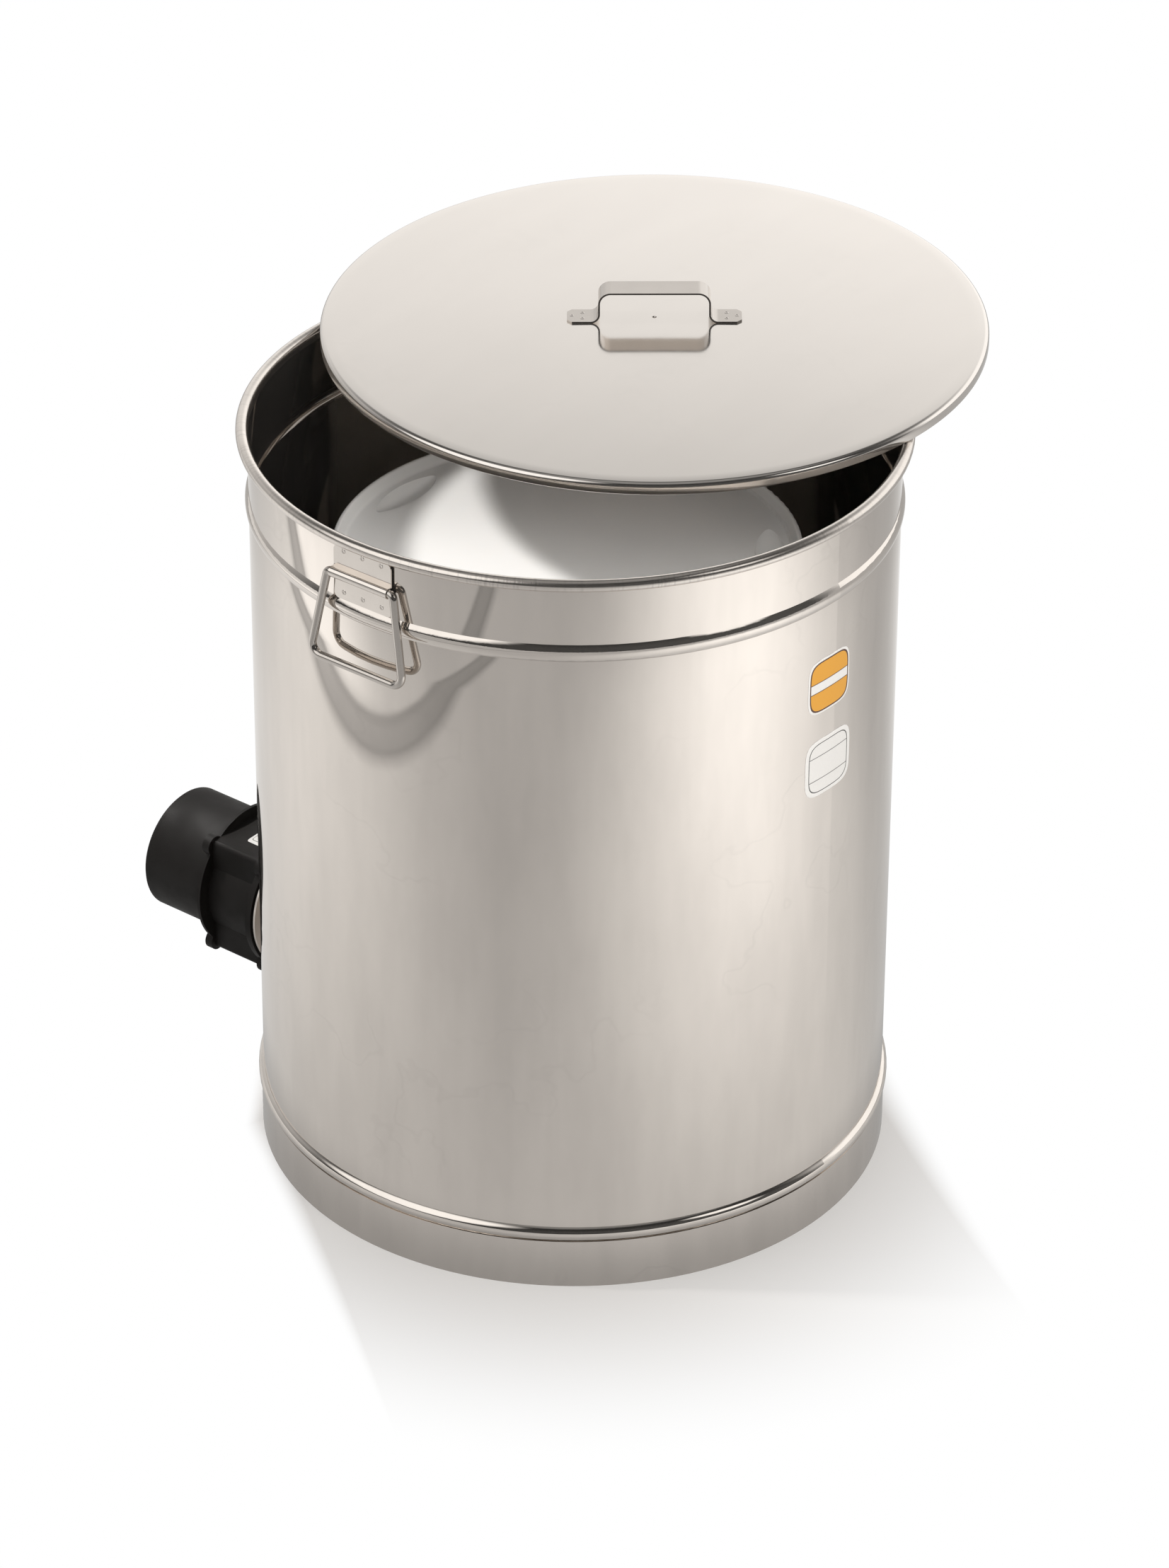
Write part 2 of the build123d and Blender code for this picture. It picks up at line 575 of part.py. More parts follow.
def blade_section(radius, chord, pitch):
    """Cambered blade section at a radius, turned to its pitch, in the impeller's own frame."""
    bow = BLADE_CAMBER + BLADE_THICKNESS / 2
    belly = BLADE_CAMBER - BLADE_THICKNESS / 2
    upper = ThreePointArc((-chord / 2, 0), (0, bow), (chord / 2, 0))
    lower = ThreePointArc((-chord / 2, 0), (0, belly), (chord / 2, 0))
    plane = Plane((radius, 0, HUB_LENGTH / 2), x_dir=(0, 1, 0), z_dir=(1, 0, 0))
    return plane * Rot(0, 0, pitch) * make_face([upper, lower])


def make_impeller():
    """Axial impeller: a hub with twisted blades lofted from root to tip."""
    tip = DUCT_RADIUS - BLADE_TIP_GAP
    root = HUB_RADIUS * 0.8
    blade = loft([
        blade_section(root, BLADE_ROOT_CHORD, BLADE_ROOT_PITCH),
        blade_section(tip, BLADE_TIP_CHORD, BLADE_TIP_PITCH),
    ])
    hub = extrude(Circle(HUB_RADIUS), HUB_LENGTH)
    hub = chamfer(hub.edges().group_by(Axis.Z)[-1], HUB_RADIUS / 6)
    rotor = hub
    for number in range(BLADE_COUNT):
        rotor += Rot(0, 0, number * 360 / BLADE_COUNT) * blade
    rotor = rotor & Cylinder(tip, 2 * HUB_LENGTH)
    rotor -= extrude(Circle(SHAFT_RADIUS), HUB_LENGTH * 3 / 4)
    return fan_plane(IMPELLER_AT).location * rotor


def make_screws(head_face, towards_drum):
    """Pan-head screws at the lugs, their heads seated on a face, pointing along or against the fan axis."""
    head = Circle(SCREW_HEAD_RADIUS)
    screw = extrude(Circle(SCREW_RADIUS), SCREW_LENGTH - SCREW_RADIUS)
    cap = extrude(head, -SCREW_HEAD_HEIGHT)
    screw += chamfer(cap.edges().group_by(Axis.Z)[0], SCREW_HEAD_HEIGHT / 3)
    plane = fan_plane(head_face)
    turn = Rot(180, 0, 0) if towards_drum else Rot(0, 0, 0)
    return solids_as_one([plane.location * place * turn * screw for place in lug_places()])


def gland_distance():
    """Distance from the drum axis to the gland, half-way along the housing."""
    return HOUSING_AT + HOUSING_LENGTH / 2


def make_cable_gland():
    """Gland for the supply lead: a stem through the housing, a hexagon and a cap with its bore."""
    face = HOUSING_RADIUS + GLAND_PAD
    plane = Plane((-gland_distance(), face, FAN_HEIGHT), x_dir=(0, 0, 1), z_dir=(0, 1, 0))
    stem = extrude(plane * Circle(GLAND_STEM_RADIUS), -(face - DUCT_RADIUS) + GLAND_PAD / 2)
    nut = extrude(plane * RegularPolygon(GLAND_HEX, 6), GLAND_HEX_LENGTH)
    cap = extrude(plane.offset(GLAND_HEX_LENGTH) * Circle(GLAND_CAP_RADIUS), GLAND_CAP_LENGTH)
    cap = chamfer(cap.edges().sort_by(Axis.Y)[-1], GLAND_CAP_RADIUS / 4)
    bore = extrude(plane * Circle(GLAND_BORE), GLAND_HEX_LENGTH + GLAND_CAP_LENGTH)
    return stem + nut + cap - bore


# All pieces, by name
strap = make_strap()
bail = make_bail()
PIECES = {
    "tank_shell": make_tank_shell(),
    "foot_ring": make_foot_ring(),
    "floor_pan": make_floor_pan(),
    "front_strap": strap,
    "back_strap": on_back(strap),
    "front_bail": bail,
    "back_bail": on_back(bail),
    "lid": make_lid(),
    "lid_handle": make_lid_handle(),
    "honey_bucket": make_honey_bucket(),
    "bucket_cover": make_bucket_cover(),
    "stand_plate": make_stand_plate(),
    "stand_legs": make_stand_legs(),
    "stub_pipe": make_stub_pipe(),
    "adapter_plate": make_adapter_plate(),
    "flange_gasket": make_flange_gasket(),
    "heater_carrier": make_heater_carrier(),
    "heater_fins": make_heater_fins(),
    "fan_housing": make_fan_housing(),
    "fan_spigot": make_fan_spigot(),
    "intake_grille": make_intake_grille(),
    "motor_mount": make_motor_mount(),
    "fan_motor": make_fan_motor(),
    "motor_shaft": make_motor_shaft(),
    "impeller": make_impeller(),
    "plate_screws": make_screws(PLATE_AT, towards_drum=False),
    "spigot_screws": make_screws(SPIGOT_AT + SPIGOT_EAR, towards_drum=True),
    "cable_gland": make_cable_gland(),
}

os.makedirs("parts", exist_ok=True)
for name, piece in PIECES.items():
    export_step(piece, f"parts/{name}.step")
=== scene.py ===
"""Looks of a honey melting tank: a polished steel drum with a loose lid, a bucket inside and a duct fan.

Laid out as an add-on and run as a script. Lengths are in metres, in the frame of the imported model.
"""

from math import cos, pi, radians, sin

import bmesh
import bpy
from bpy.props import FloatProperty, FloatVectorProperty, IntProperty, PointerProperty
from mathutils import Matrix, Vector


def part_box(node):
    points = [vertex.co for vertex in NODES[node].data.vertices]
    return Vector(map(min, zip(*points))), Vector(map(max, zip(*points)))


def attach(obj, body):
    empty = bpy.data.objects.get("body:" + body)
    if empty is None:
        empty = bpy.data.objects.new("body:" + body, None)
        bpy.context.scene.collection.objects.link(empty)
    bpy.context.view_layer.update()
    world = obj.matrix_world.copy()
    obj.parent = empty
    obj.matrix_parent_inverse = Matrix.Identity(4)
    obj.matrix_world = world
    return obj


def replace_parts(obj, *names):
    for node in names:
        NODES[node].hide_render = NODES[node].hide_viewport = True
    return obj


bl_info = {
    "name": "Honey Melting Tank",
    "version": (1, 0, 0),
    "blender": (4, 5, 0),
    "location": "View3D > Sidebar > Honey Tank",
    "description": "Dresses a polished steel honey melting tank, its bucket and its duct fan",
    "category": "Object",
}

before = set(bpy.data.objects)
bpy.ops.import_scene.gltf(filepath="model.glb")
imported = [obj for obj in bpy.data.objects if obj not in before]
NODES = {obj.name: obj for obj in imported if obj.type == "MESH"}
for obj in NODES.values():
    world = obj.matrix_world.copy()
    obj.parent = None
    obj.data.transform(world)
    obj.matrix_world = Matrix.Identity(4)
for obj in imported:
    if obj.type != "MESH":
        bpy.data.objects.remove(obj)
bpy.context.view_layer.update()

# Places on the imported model
DRUM_RADIUS = 0.2625
STRAP_SHEET = 0.001
STRAP_WELD_ROWS = (-0.017, 0.0195)
STRAP_WELD_SPACING = 0.019
LID_SEAT = 0.6625
LID_RADIUS = 0.2738
LID_SHEET = 0.0008
LID_SHOULDER = 0.004
LID_SKIRT = 0.010
LID_HEM = 0.0045
LID_CROWN = 0.0039
LID_VENT = 0.0018
LID_TAB_RISE = 0.00375
LID_SHIFT = 0.161
LID_SHIFT_AZIMUTH = radians(105.0)
LID_TILT = radians(0.9)
GRIP_AZIMUTH = radians(38.5)
GRIP_STRIP = 0.0015
GRIP_TAB_MIDDLE = 0.0635
GRIP_WELDS = ((-0.0045, -0.005), (-0.0045, 0.005), (0.004, 0.0))
FAN_HEIGHT = 0.0900
FAN_TOP = 0.0545
PLATE_FACE = -0.3031
PIPE_RADIUS = 0.030
RIM_LOW = 0.6515
RIM_EDGE = 0.002
SEAM_TURN = radians(178.0)
SEAM_HALF_TURN = (0.0015, 0.004)

# Fineness and form of the new pieces
SHARP_ANGLE = radians(40)
SPOT_PROFILE = ((0, 0.05), (0.45, 0.05), (0.62, 0.14), (0.8, 0.14), (1.0, 0.0))
SPOT_STEPS = 20
GRIP_SPOT_SHARE = 0.8
LID_STEPS = 240
LID_CROWN_STEPS = 30
LID_BEND_STEPS = 8
STICKER_RINGS = 24
STICKER_STEPS = 128
STICKER_FLAT = 0.985
STICKER_LIP = (0.995, 0.7)
WALL_STICKER_CORNER = 4.5
FAN_LABEL_CORNER = 14.0
WELD_SIDES = 12
WELD_STEPS_PER_RIPPLE = 4
WELD_SWELL = 0.18
PLATE_WELD = 0.0016
WALL_WELD = 0.002

# Stickers as azimuth, height of the middle, width and height, and the fan's label as place, width and height
AMBER_STICKER = (radians(-1.5), 0.5175, 0.052, 0.049)
PALE_STICKER = (radians(-1.2), 0.443, 0.057, 0.052)
FAN_LABEL = (-0.3286, 0.0292, 0.0526)
PRINT_GREY = (0.05, 0.05, 0.05)
PRINT_SOFTNESS = 0.006

# Finish of the steel. Each sheet has a spread of roughness, a share of haze and a share of marks
SHEET_METAL = 0.97
SHEET_SHADE = 0.86
WALL_SHEET = (0.03, 0.65, 0.35)
FOOT_SHEET = (0.045, 0.8, 0.5)
LID_SHEET_FINISH = (0.02, 0.12, 0.12)
LID_TINT = (0.985, 1.0, 1.015)
LINE_SIZE = 900.0
CLOUD_SIZE = 7.0
SCUFF_AMOUNT = 0.5
SCUFF_SPREAD = 0.6
WALL_WAVES = 0.00025
LID_WAVES = 0.0001
BEAD_DRAWN = (0.555, 0.590)
BEAD_PULL = 0.00055
TICK_SIZE = 600.0
TICK_DEPTH = 0.000012
RIM_ROUGHNESS = 0.16
# Painted shade: bails and lid handle take the strap's steel darkened for their darker reflections
WIRE_PAINTED_SHADE = 0.74
SPOT_SHADE = 0.94
SPOT_ROUGHNESS = 0.06
SATIN_SHADE = 0.92
INLET_SHADE = 0.95
WELD_SHADE = 0.85

# Finish of the plastic and the small metal pieces
PLASTIC_SHINE = 0.2
FAN_GRAIN = (1500.0, 0.00004)
FAN_INNER_GRAIN = (900.0, 0.00002)
FAN_INNER_SHADE = 1.2
FAN_INNER_POLISH = 0.08
SEAL_COLOUR = (0.03, 0.03, 0.03)
SEAL_ROUGHNESS = 0.7
SEAL_GRAIN = (500.0, 0.00005)
BUCKET_GRAIN = (700.0, 0.000004)
BUCKET_DEPTH = 0.004
ALUMINIUM = ((0.62, 0.62, 0.63), 0.35)
ZINC = ((0.60, 0.60, 0.59), 0.28)
WELD_ROUGHNESS = 0.3
STICKER_ROUGHNESS = 0.3
FAN_LABEL_ROUGHNESS = 0.45
FAN_LABEL_SHADE = 0.7

# Painted light and shade of the floor, seen in reflections alone, in metres right of and away behind the drum's axis
FLOOR_SPAN = 9.0
FLOOR_BASE = 0.49
FLOOR_PAINTED_POOLS = (((1.06, -0.70), 1.34, 0.88), ((-1.07, 0.17), 1.33, 0.45), ((0.05, 0.99), 0.96, 0.50))
# A straight edge across the floor: painted shadow in a strip along it and painted light beyond it
FLOOR_STRIP_ACROSS = (0.9384, 0.3454, 0.0)
FLOOR_STRIP_REACH = 1.014
FLOOR_SHADOW_STRIP = (
    (-0.10, 1.0), (-0.079, 1.0), (-0.067, 0.5), (-0.046, 0.62),
    (-0.010, 0.58), (-0.002, 0.48), (0.012, 0.72), (0.036, 1.0),
)
FLOOR_BEYOND = (-0.11, -0.07, 1.0, 0.0)
FLOOR_BEYOND_AWAY = (-0.6, -0.1)
FLOOR_BEYOND_GAIN = 0.35
# Painted shade that darkens the mirrored floor next to the drum's foot
FLOOR_FOOT_PAINTED_SHADE = (0.262, 0.36, 0.66, 1.0)

# Where the floor runs out to white for the camera: round the axis, then beyond lines across the floor
FLOOR_FADE = (0.22, 0.50, 0.2, 1.0)
FLOOR_CLEAR = (
    ((-1.0, 0.05, 0.0), 0.256, 0.278),
    ((-1.0, -0.328, 0.0), 0.262, 0.292),
    ((1.0, 0.27, 0.0), 0.248, 0.292),
)

# Sky as the steel mirrors it. Each painted highlight, which lights nothing, is an azimuth from the camera's side, an
# elevation, a reach, a core and an amount
STUDIO_TINT = (1.0, 0.985, 0.965, 1.0)
SKY_WALL = (0.36, 0.80, 1.2, 0.05)
SKY_LEAN = 0.7
SKY_BEHIND = (-0.1, 0.4)
SKY_FRONT = 0.03
SKY_LIMIT = 1.3
SKY_PAINTED_HIGHLIGHTS = (
    (radians(-62), radians(36), radians(36), radians(22), 1.35),
    (radians(58), radians(36), radians(15), radians(6), 1.3),
    (0.0, radians(90), radians(35), radians(10), 0.25),
)

# Lamps: name, power setting, place from the target as azimuth from the camera's side, elevation and distance, size,
# spread, target, and whether the steel mirrors it
LAMP_TINT = (1.0, 0.98, 0.955)
LAMPS = (
    ("mouth_lamp", "mouth_power", (radians(-92), radians(43), 4.2), 0.55, radians(8), (0, 0, 0.56), False),
    ("fan_lamp", "fan_power", (radians(-125), radians(62), 4.0), 0.3, radians(6), (-0.39, -0.02, 0.12), True),
    ("fill_lamp", "fill_power", (radians(25), radians(35), 4.0), 2.4, radians(140), (0, 0, 0.5), False),
)
SENSOR_WIDTH = 36.0


class DrumSettings(bpy.types.PropertyGroup):
    """Finish of the drum, its lid and its handles."""

    steel: FloatVectorProperty(
        name="Steel", description="Colour of the polished sheet", subtype="COLOR", size=3, min=0, max=1,
        default=(0.765, 0.716, 0.668),
    )
    wall_gloss: FloatProperty(
        name="Wall roughness", description="Roughness of the drum's wall", min=0, max=1, default=0.015,
        subtype="FACTOR",
    )
    lid_gloss: FloatProperty(
        name="Lid roughness", description="Roughness of the lid", min=0, max=1, default=0.085, subtype="FACTOR",
    )
    wire_gloss: FloatProperty(
        name="Wire roughness", description="Roughness of bails, straps and lid handle", min=0, max=1, default=0.055,
        subtype="FACTOR",
    )
    weld_radius: FloatProperty(
        name="Spot weld", description="Radius of a spot weld's ring", min=0.0005, max=0.01, default=0.0022,
        subtype="DISTANCE", unit="LENGTH",
    )


class BucketSettings(bpy.types.PropertyGroup):
    """Finish of the bucket."""

    plastic: FloatVectorProperty(
        name="Plastic", description="Colour of the bucket and its cover", subtype="COLOR", size=3, min=0, max=1,
        default=(0.80, 0.795, 0.785),
    )
    gloss: FloatProperty(
        name="Roughness", description="Roughness of the bucket", min=0, max=1, default=0.2, subtype="FACTOR",
    )


class StickerSettings(bpy.types.PropertyGroup):
    """Stickers on the wall and the fan, printed without words."""

    field: FloatVectorProperty(
        name="Field", description="Colour of the upper sticker's field", subtype="COLOR", size=3, min=0, max=1,
        default=(0.74, 0.35, 0.032),
    )
    line: FloatVectorProperty(
        name="Line", description="Colour of the upper sticker's lines", subtype="COLOR", size=3, min=0, max=1,
        default=(0.085, 0.035, 0.02),
    )
    paper: FloatVectorProperty(
        name="Paper", description="Colour of margins and blank stickers", subtype="COLOR", size=3, min=0, max=1,
        default=(0.82, 0.81, 0.79),
    )
    thickness: FloatProperty(
        name="Thickness", description="Thickness of a sticker", min=0.00005, max=0.001, default=0.0002,
        subtype="DISTANCE", unit="LENGTH",
    )


class FanSettings(bpy.types.PropertyGroup):
    """Finish of the fan and the pieces round it."""

    plastic: FloatVectorProperty(
        name="Plastic", description="Colour of the fan's mouldings", subtype="COLOR", size=3, min=0, max=1,
        default=(0.0062, 0.0051, 0.0044),
    )
    gloss: FloatProperty(
        name="Roughness", description="Roughness of the fan's mouldings", min=0, max=1, default=0.62,
        subtype="FACTOR",
    )
    ripples: IntProperty(
        name="Weld ripples", description="Ripples round each pipe weld", min=12, max=200, default=64,
    )


class StageSettings(bpy.types.PropertyGroup):
    """Floor, lamps and camera."""

    floor: FloatVectorProperty(
        name="Floor", description="Colour of the floor", subtype="COLOR", size=3, min=0, max=1,
        default=(0.62, 0.60, 0.58),
    )
    sky: FloatProperty(
        name="Sky", description="Strength of the even light all round", min=0, max=5, default=0.6,
    )
    mouth_power: FloatProperty(
        name="Mouth lamp", description="Power of the lamp on the left that lights the mouth", min=0, max=2000,
        default=1.2, subtype="POWER", unit="POWER",
    )
    fan_power: FloatProperty(
        name="Fan lamp", description="Power of the lamp above the fan", min=0, max=2000, default=0.38,
        subtype="POWER", unit="POWER",
    )
    fill_power: FloatProperty(
        name="Fill lamp", description="Power of the wide lamp in front on the right", min=0, max=2000, default=65,
        subtype="POWER", unit="POWER",
    )
    azimuth: FloatProperty(
        name="Camera azimuth", description="Side that the camera looks from", default=radians(38.5),
        subtype="ANGLE", unit="ROTATION",
    )
    distance: FloatProperty(
        name="Camera distance", description="Level distance from the drum's axis", min=0.1, default=4.2702,
        subtype="DISTANCE", unit="LENGTH",
    )
    height: FloatProperty(
        name="Camera height", description="Height above the floor", min=0, default=2.8988, subtype="DISTANCE",
        unit="LENGTH",
    )
    pitch: FloatProperty(
        name="Camera pitch", description="Angle that the camera looks down", default=0.54327, subtype="ANGLE",
        unit="ROTATION",
    )
    roll: FloatProperty(
        name="Camera roll", description="Turn about the line of sight", default=0.00528, subtype="ANGLE",
        unit="ROTATION",
    )
    swing: FloatProperty(
        name="Camera swing", description="Turn away from the drum's axis", default=-0.00203, subtype="ANGLE",
        unit="ROTATION",
    )
    lens: FloatProperty(
        name="Lens", description="Focal length on a 36 mm sensor", min=1, default=138.366, unit="CAMERA",
    )


# Node helpers


def add(tree, kind, **values):
    """A node with its properties or input constants set by name."""
    made = tree.nodes.new(kind)
    for name, value in values.items():
        label = name.replace("_", " ")
        if label in made.inputs:
            made.inputs[label].default_value = value
        else:
            setattr(made, name, value)
    return made


def join(tree, source, target):
    """A link from an output socket to an input socket."""
    tree.links.new(source, target)


def math(tree, operation, first, second=None, clamp=False):
    """A math node's output. Numbers become constants, sockets become links."""
    made = add(tree, "ShaderNodeMath", operation=operation, use_clamp=clamp)
    for index, value in enumerate((first, second)):
        if isinstance(value, (int, float)):
            made.inputs[index].default_value = value
        elif value is not None:
            join(tree, value, made.inputs[index])
    return made.outputs[0]


def ramp(tree, value, low, high, bottom=0.0, top=1.0):
    """A smooth step from bottom to top as value goes from low to high."""
    made = add(
        tree, "ShaderNodeMapRange", interpolation_type="SMOOTHSTEP", From_Min=low, From_Max=high, To_Min=bottom,
        To_Max=top,
    )
    join(tree, value, made.inputs["Value"])
    return made.outputs["Result"]


def stepped(tree, value, points):
    """A value that follows (place, level) points, straight between them."""
    low, high = points[0][0], points[-1][0]
    share = add(tree, "ShaderNodeMapRange", From_Min=low, From_Max=high)
    join(tree, value, share.inputs["Value"])
    levels = tree.nodes.new("ShaderNodeValToRGB")
    stops = levels.color_ramp.elements
    for index, (place, level) in enumerate(points):
        at = (place - low) / (high - low)
        stop = stops[0] if index == 0 else stops[-1] if index == len(points) - 1 else stops.new(at)
        stop.position = at
        stop.color = (level, level, level, 1.0)
    join(tree, share.outputs["Result"], levels.inputs["Fac"])
    return levels.outputs["Color"]


def along_axis(tree, vector, axis):
    """How far a vector reaches along an axis."""
    made = add(tree, "ShaderNodeVectorMath", operation="DOT_PRODUCT")
    join(tree, vector, made.inputs[0])
    made.inputs[1].default_value = axis
    return made.outputs["Value"]


def axes_of(tree, vector):
    """A vector's X, Y and Z outputs."""
    made = add(tree, "ShaderNodeSeparateXYZ")
    join(tree, vector, made.inputs[0])
    return made.outputs


def shaded(colour, share):
    """A colour made darker or lighter."""
    return tuple(share * value for value in colour)


def blend(tree, factor, first, second):
    """A colour that goes from first to second by a factor socket. Tuples become constants, sockets become links."""
    made = add(tree, "ShaderNodeMix", data_type="RGBA")
    sockets = [socket for socket in made.inputs if socket.type == "RGBA"]
    join(tree, factor, made.inputs[0])
    for socket, colour in zip(sockets, (first, second)):
        if isinstance(colour, tuple):
            socket.default_value = (*colour, 1.0)
        else:
            join(tree, colour, socket)
    return next(socket for socket in made.outputs if socket.type == "RGBA")


def noise(tree, vector, scale, detail=2.0):
    """A noise texture's value."""
    made = add(tree, "ShaderNodeTexNoise", Scale=scale, Detail=detail)
    join(tree, vector, made.inputs["Vector"])
    return made.outputs["Fac"]


def stretched(tree, vector, scale):
    """A vector scaled along its axes."""
    made = add(tree, "ShaderNodeMapping", Scale=scale)
    join(tree, vector, made.inputs["Vector"])
    return made.outputs["Vector"]


def new_group(name, inputs, outputs):
    """An empty shader node group with float or vector sockets, as (tree, input node, output node)."""
    tree = bpy.data.node_groups.new(name, "ShaderNodeTree")
    for socket, kind in inputs:
        tree.interface.new_socket(name=socket, in_out="INPUT", socket_type=kind)
    for socket, kind in outputs:
        tree.interface.new_socket(name=socket, in_out="OUTPUT", socket_type=kind)
    return tree, tree.nodes.new("NodeGroupInput"), tree.nodes.new("NodeGroupOutput")


def place_group(tree, group, vector, **values):
    """A node group in a material, reading a vector, with its other inputs set by name."""
    made = add(tree, "ShaderNodeGroup", node_tree=group)
    for name, value in values.items():
        made.inputs[name.replace("_", " ")].default_value = value
    join(tree, vector, made.inputs["Vector"])
    return made


# Shared effects


def unrolled_group():
    """Object coordinates laid flat round the drum: arc length, height and depth from the axis."""
    tree, source, result = new_group(
        "unrolled_drum", [("Vector", "NodeSocketVector")],
        [("Flat", "NodeSocketVector"), ("Radius", "NodeSocketFloat"), ("Turn", "NodeSocketFloat")],
    )
    axes = axes_of(tree, source.outputs["Vector"])
    turn = math(tree, "ARCTAN2", axes["Y"], axes["X"])
    square = math(tree, "ADD", math(tree, "POWER", axes["X"], 2), math(tree, "POWER", axes["Y"], 2))
    radius = math(tree, "SQRT", square)
    flat = add(tree, "ShaderNodeCombineXYZ")
    join(tree, math(tree, "MULTIPLY", turn, DRUM_RADIUS), flat.inputs["X"])
    join(tree, axes["Z"], flat.inputs["Y"])
    join(tree, radius, flat.inputs["Z"])
    join(tree, flat.outputs[0], result.inputs["Flat"])
    join(tree, radius, result.inputs["Radius"])
    join(tree, turn, result.inputs["Turn"])
    return tree


def sheet_group():
    """Rolled sheet: long fine rolling lines, cloudy haze, dried water marks with a few specks, and slow waves."""
    tree, source, result = new_group(
        "rolled_sheet",
        [("Vector", "NodeSocketVector"), ("Line Size", "NodeSocketFloat"), ("Cloud Size", "NodeSocketFloat")],
        [(name, "NodeSocketFloat") for name in ("Lines", "Haze", "Marks", "Waves")],
    )
    vector = source.outputs["Vector"]
    fine = add(tree, "ShaderNodeTexNoise", Detail=3.0)
    join(tree, stretched(tree, vector, (0.06, 1.0, 1.0)), fine.inputs["Vector"])
    join(tree, source.outputs["Line Size"], fine.inputs["Scale"])
    cloud = add(tree, "ShaderNodeTexNoise", Detail=4.0, Roughness=0.6)
    join(tree, stretched(tree, vector, (1.6, 0.7, 1.0)), cloud.inputs["Vector"])
    join(tree, source.outputs["Cloud Size"], cloud.inputs["Scale"])
    smear = noise(tree, stretched(tree, vector, (9.0, 1.4, 1.0)), 4.0, 3.0)
    haze = math(tree, "ADD", math(tree, "MULTIPLY", cloud.outputs["Fac"], 0.6), math(tree, "MULTIPLY", smear, 0.4))
    shore = math(tree, "ABSOLUTE", math(tree, "SUBTRACT", noise(tree, vector, 11.0, 3.0), 0.5))
    patches = ramp(tree, noise(tree, vector, 5.0, 1.0), 0.48, 0.6)
    dried = math(tree, "MULTIPLY", ramp(tree, shore, 0.002, 0.014, 1.0, 0.0), patches)
    dots = add(tree, "ShaderNodeTexVoronoi", feature="F1", Scale=45.0)
    join(tree, vector, dots.inputs["Vector"])
    chosen = add(tree, "ShaderNodeSeparateColor")
    join(tree, dots.outputs["Color"], chosen.inputs[0])
    few = ramp(tree, chosen.outputs[0], 0.80, 0.82)
    specks = math(tree, "MULTIPLY", ramp(tree, dots.outputs["Distance"], 0.015, 0.05, 1.0, 0.0), few)
    slow = math(tree, "MULTIPLY", noise(tree, vector, 5.0, 1.0), 0.8)
    quick = math(tree, "MULTIPLY", noise(tree, vector, 18.0, 1.0), 0.2)
    join(tree, fine.outputs["Fac"], result.inputs["Lines"])
    join(tree, ramp(tree, haze, 0.32, 0.68), result.inputs["Haze"])
    join(tree, math(tree, "MAXIMUM", math(tree, "MULTIPLY", dried, 0.5), specks), result.inputs["Marks"])
    join(tree, math(tree, "ADD", slow, quick), result.inputs["Waves"])
    return tree


def grain_group():
    """Moulded plastic: a fine spark grain and faint flow marks."""
    tree, source, result = new_group(
        "moulded_grain", [("Vector", "NodeSocketVector"), ("Grain Size", "NodeSocketFloat")],
        [("Grain", "NodeSocketFloat"), ("Flow", "NodeSocketFloat")],
    )
    grain = add(tree, "ShaderNodeTexVoronoi", feature="F1")
    join(tree, source.outputs["Vector"], grain.inputs["Vector"])
    join(tree, source.outputs["Grain Size"], grain.inputs["Scale"])
    join(tree, grain.outputs["Distance"], result.inputs["Grain"])
    join(tree, noise(tree, source.outputs["Vector"], 30.0, 3.0), result.inputs["Flow"])
    return tree


def scuff_group():
    """Thin scratches in two directions, as a mask."""
    tree, source, result = new_group(
        "scuffs", [("Vector", "NodeSocketVector"), ("Amount", "NodeSocketFloat")], [("Mask", "NodeSocketFloat")],
    )
    layers = []
    for turn, scale in ((0.5, 26.0), (-0.9, 34.0)):
        turned = add(tree, "ShaderNodeMapping", Rotation=(0, 0, turn), Scale=(0.12, 3.0, 1.0))
        join(tree, source.outputs["Vector"], turned.inputs["Vector"])
        layers.append(ramp(tree, noise(tree, turned.outputs["Vector"], scale, 2.0), 0.66, 0.76))
    both = math(tree, "MAXIMUM", *layers)
    join(tree, math(tree, "MULTIPLY", both, source.outputs["Amount"]), result.inputs["Mask"])
    return tree


GROUPS = {}


def group(name, maker):
    """A shared node group, built the first time that it is asked for."""
    if name not in GROUPS:
        GROUPS[name] = maker()
    return GROUPS[name]


# Materials


def new_material(name):
    """A material with only a Principled shader, as (material, tree, shader, object coordinates)."""
    material = bpy.data.materials.new(name)
    material.use_nodes = True
    tree = material.node_tree
    tree.nodes.clear()
    shader = tree.nodes.new("ShaderNodeBsdfPrincipled")
    output = tree.nodes.new("ShaderNodeOutputMaterial")
    join(tree, shader.outputs["BSDF"], output.inputs["Surface"])
    coordinates = tree.nodes.new("ShaderNodeTexCoord")
    return material, tree, shader, coordinates.outputs["Object"]


def set_bump(tree, shader, height, distance, strength=1.0):
    """Bump of a height socket, in metres, on a shader."""
    bump = add(tree, "ShaderNodeBump", Strength=strength, Distance=distance)
    join(tree, height, bump.inputs["Height"])
    join(tree, bump.outputs["Normal"], shader.inputs["Normal"])


def tint(tree, shader, colour, factor, shade):
    """Base colour that goes from a colour to a shade of it, by a factor socket."""
    join(tree, blend(tree, factor, colour, shaded(colour, shade)), shader.inputs["Base Color"])


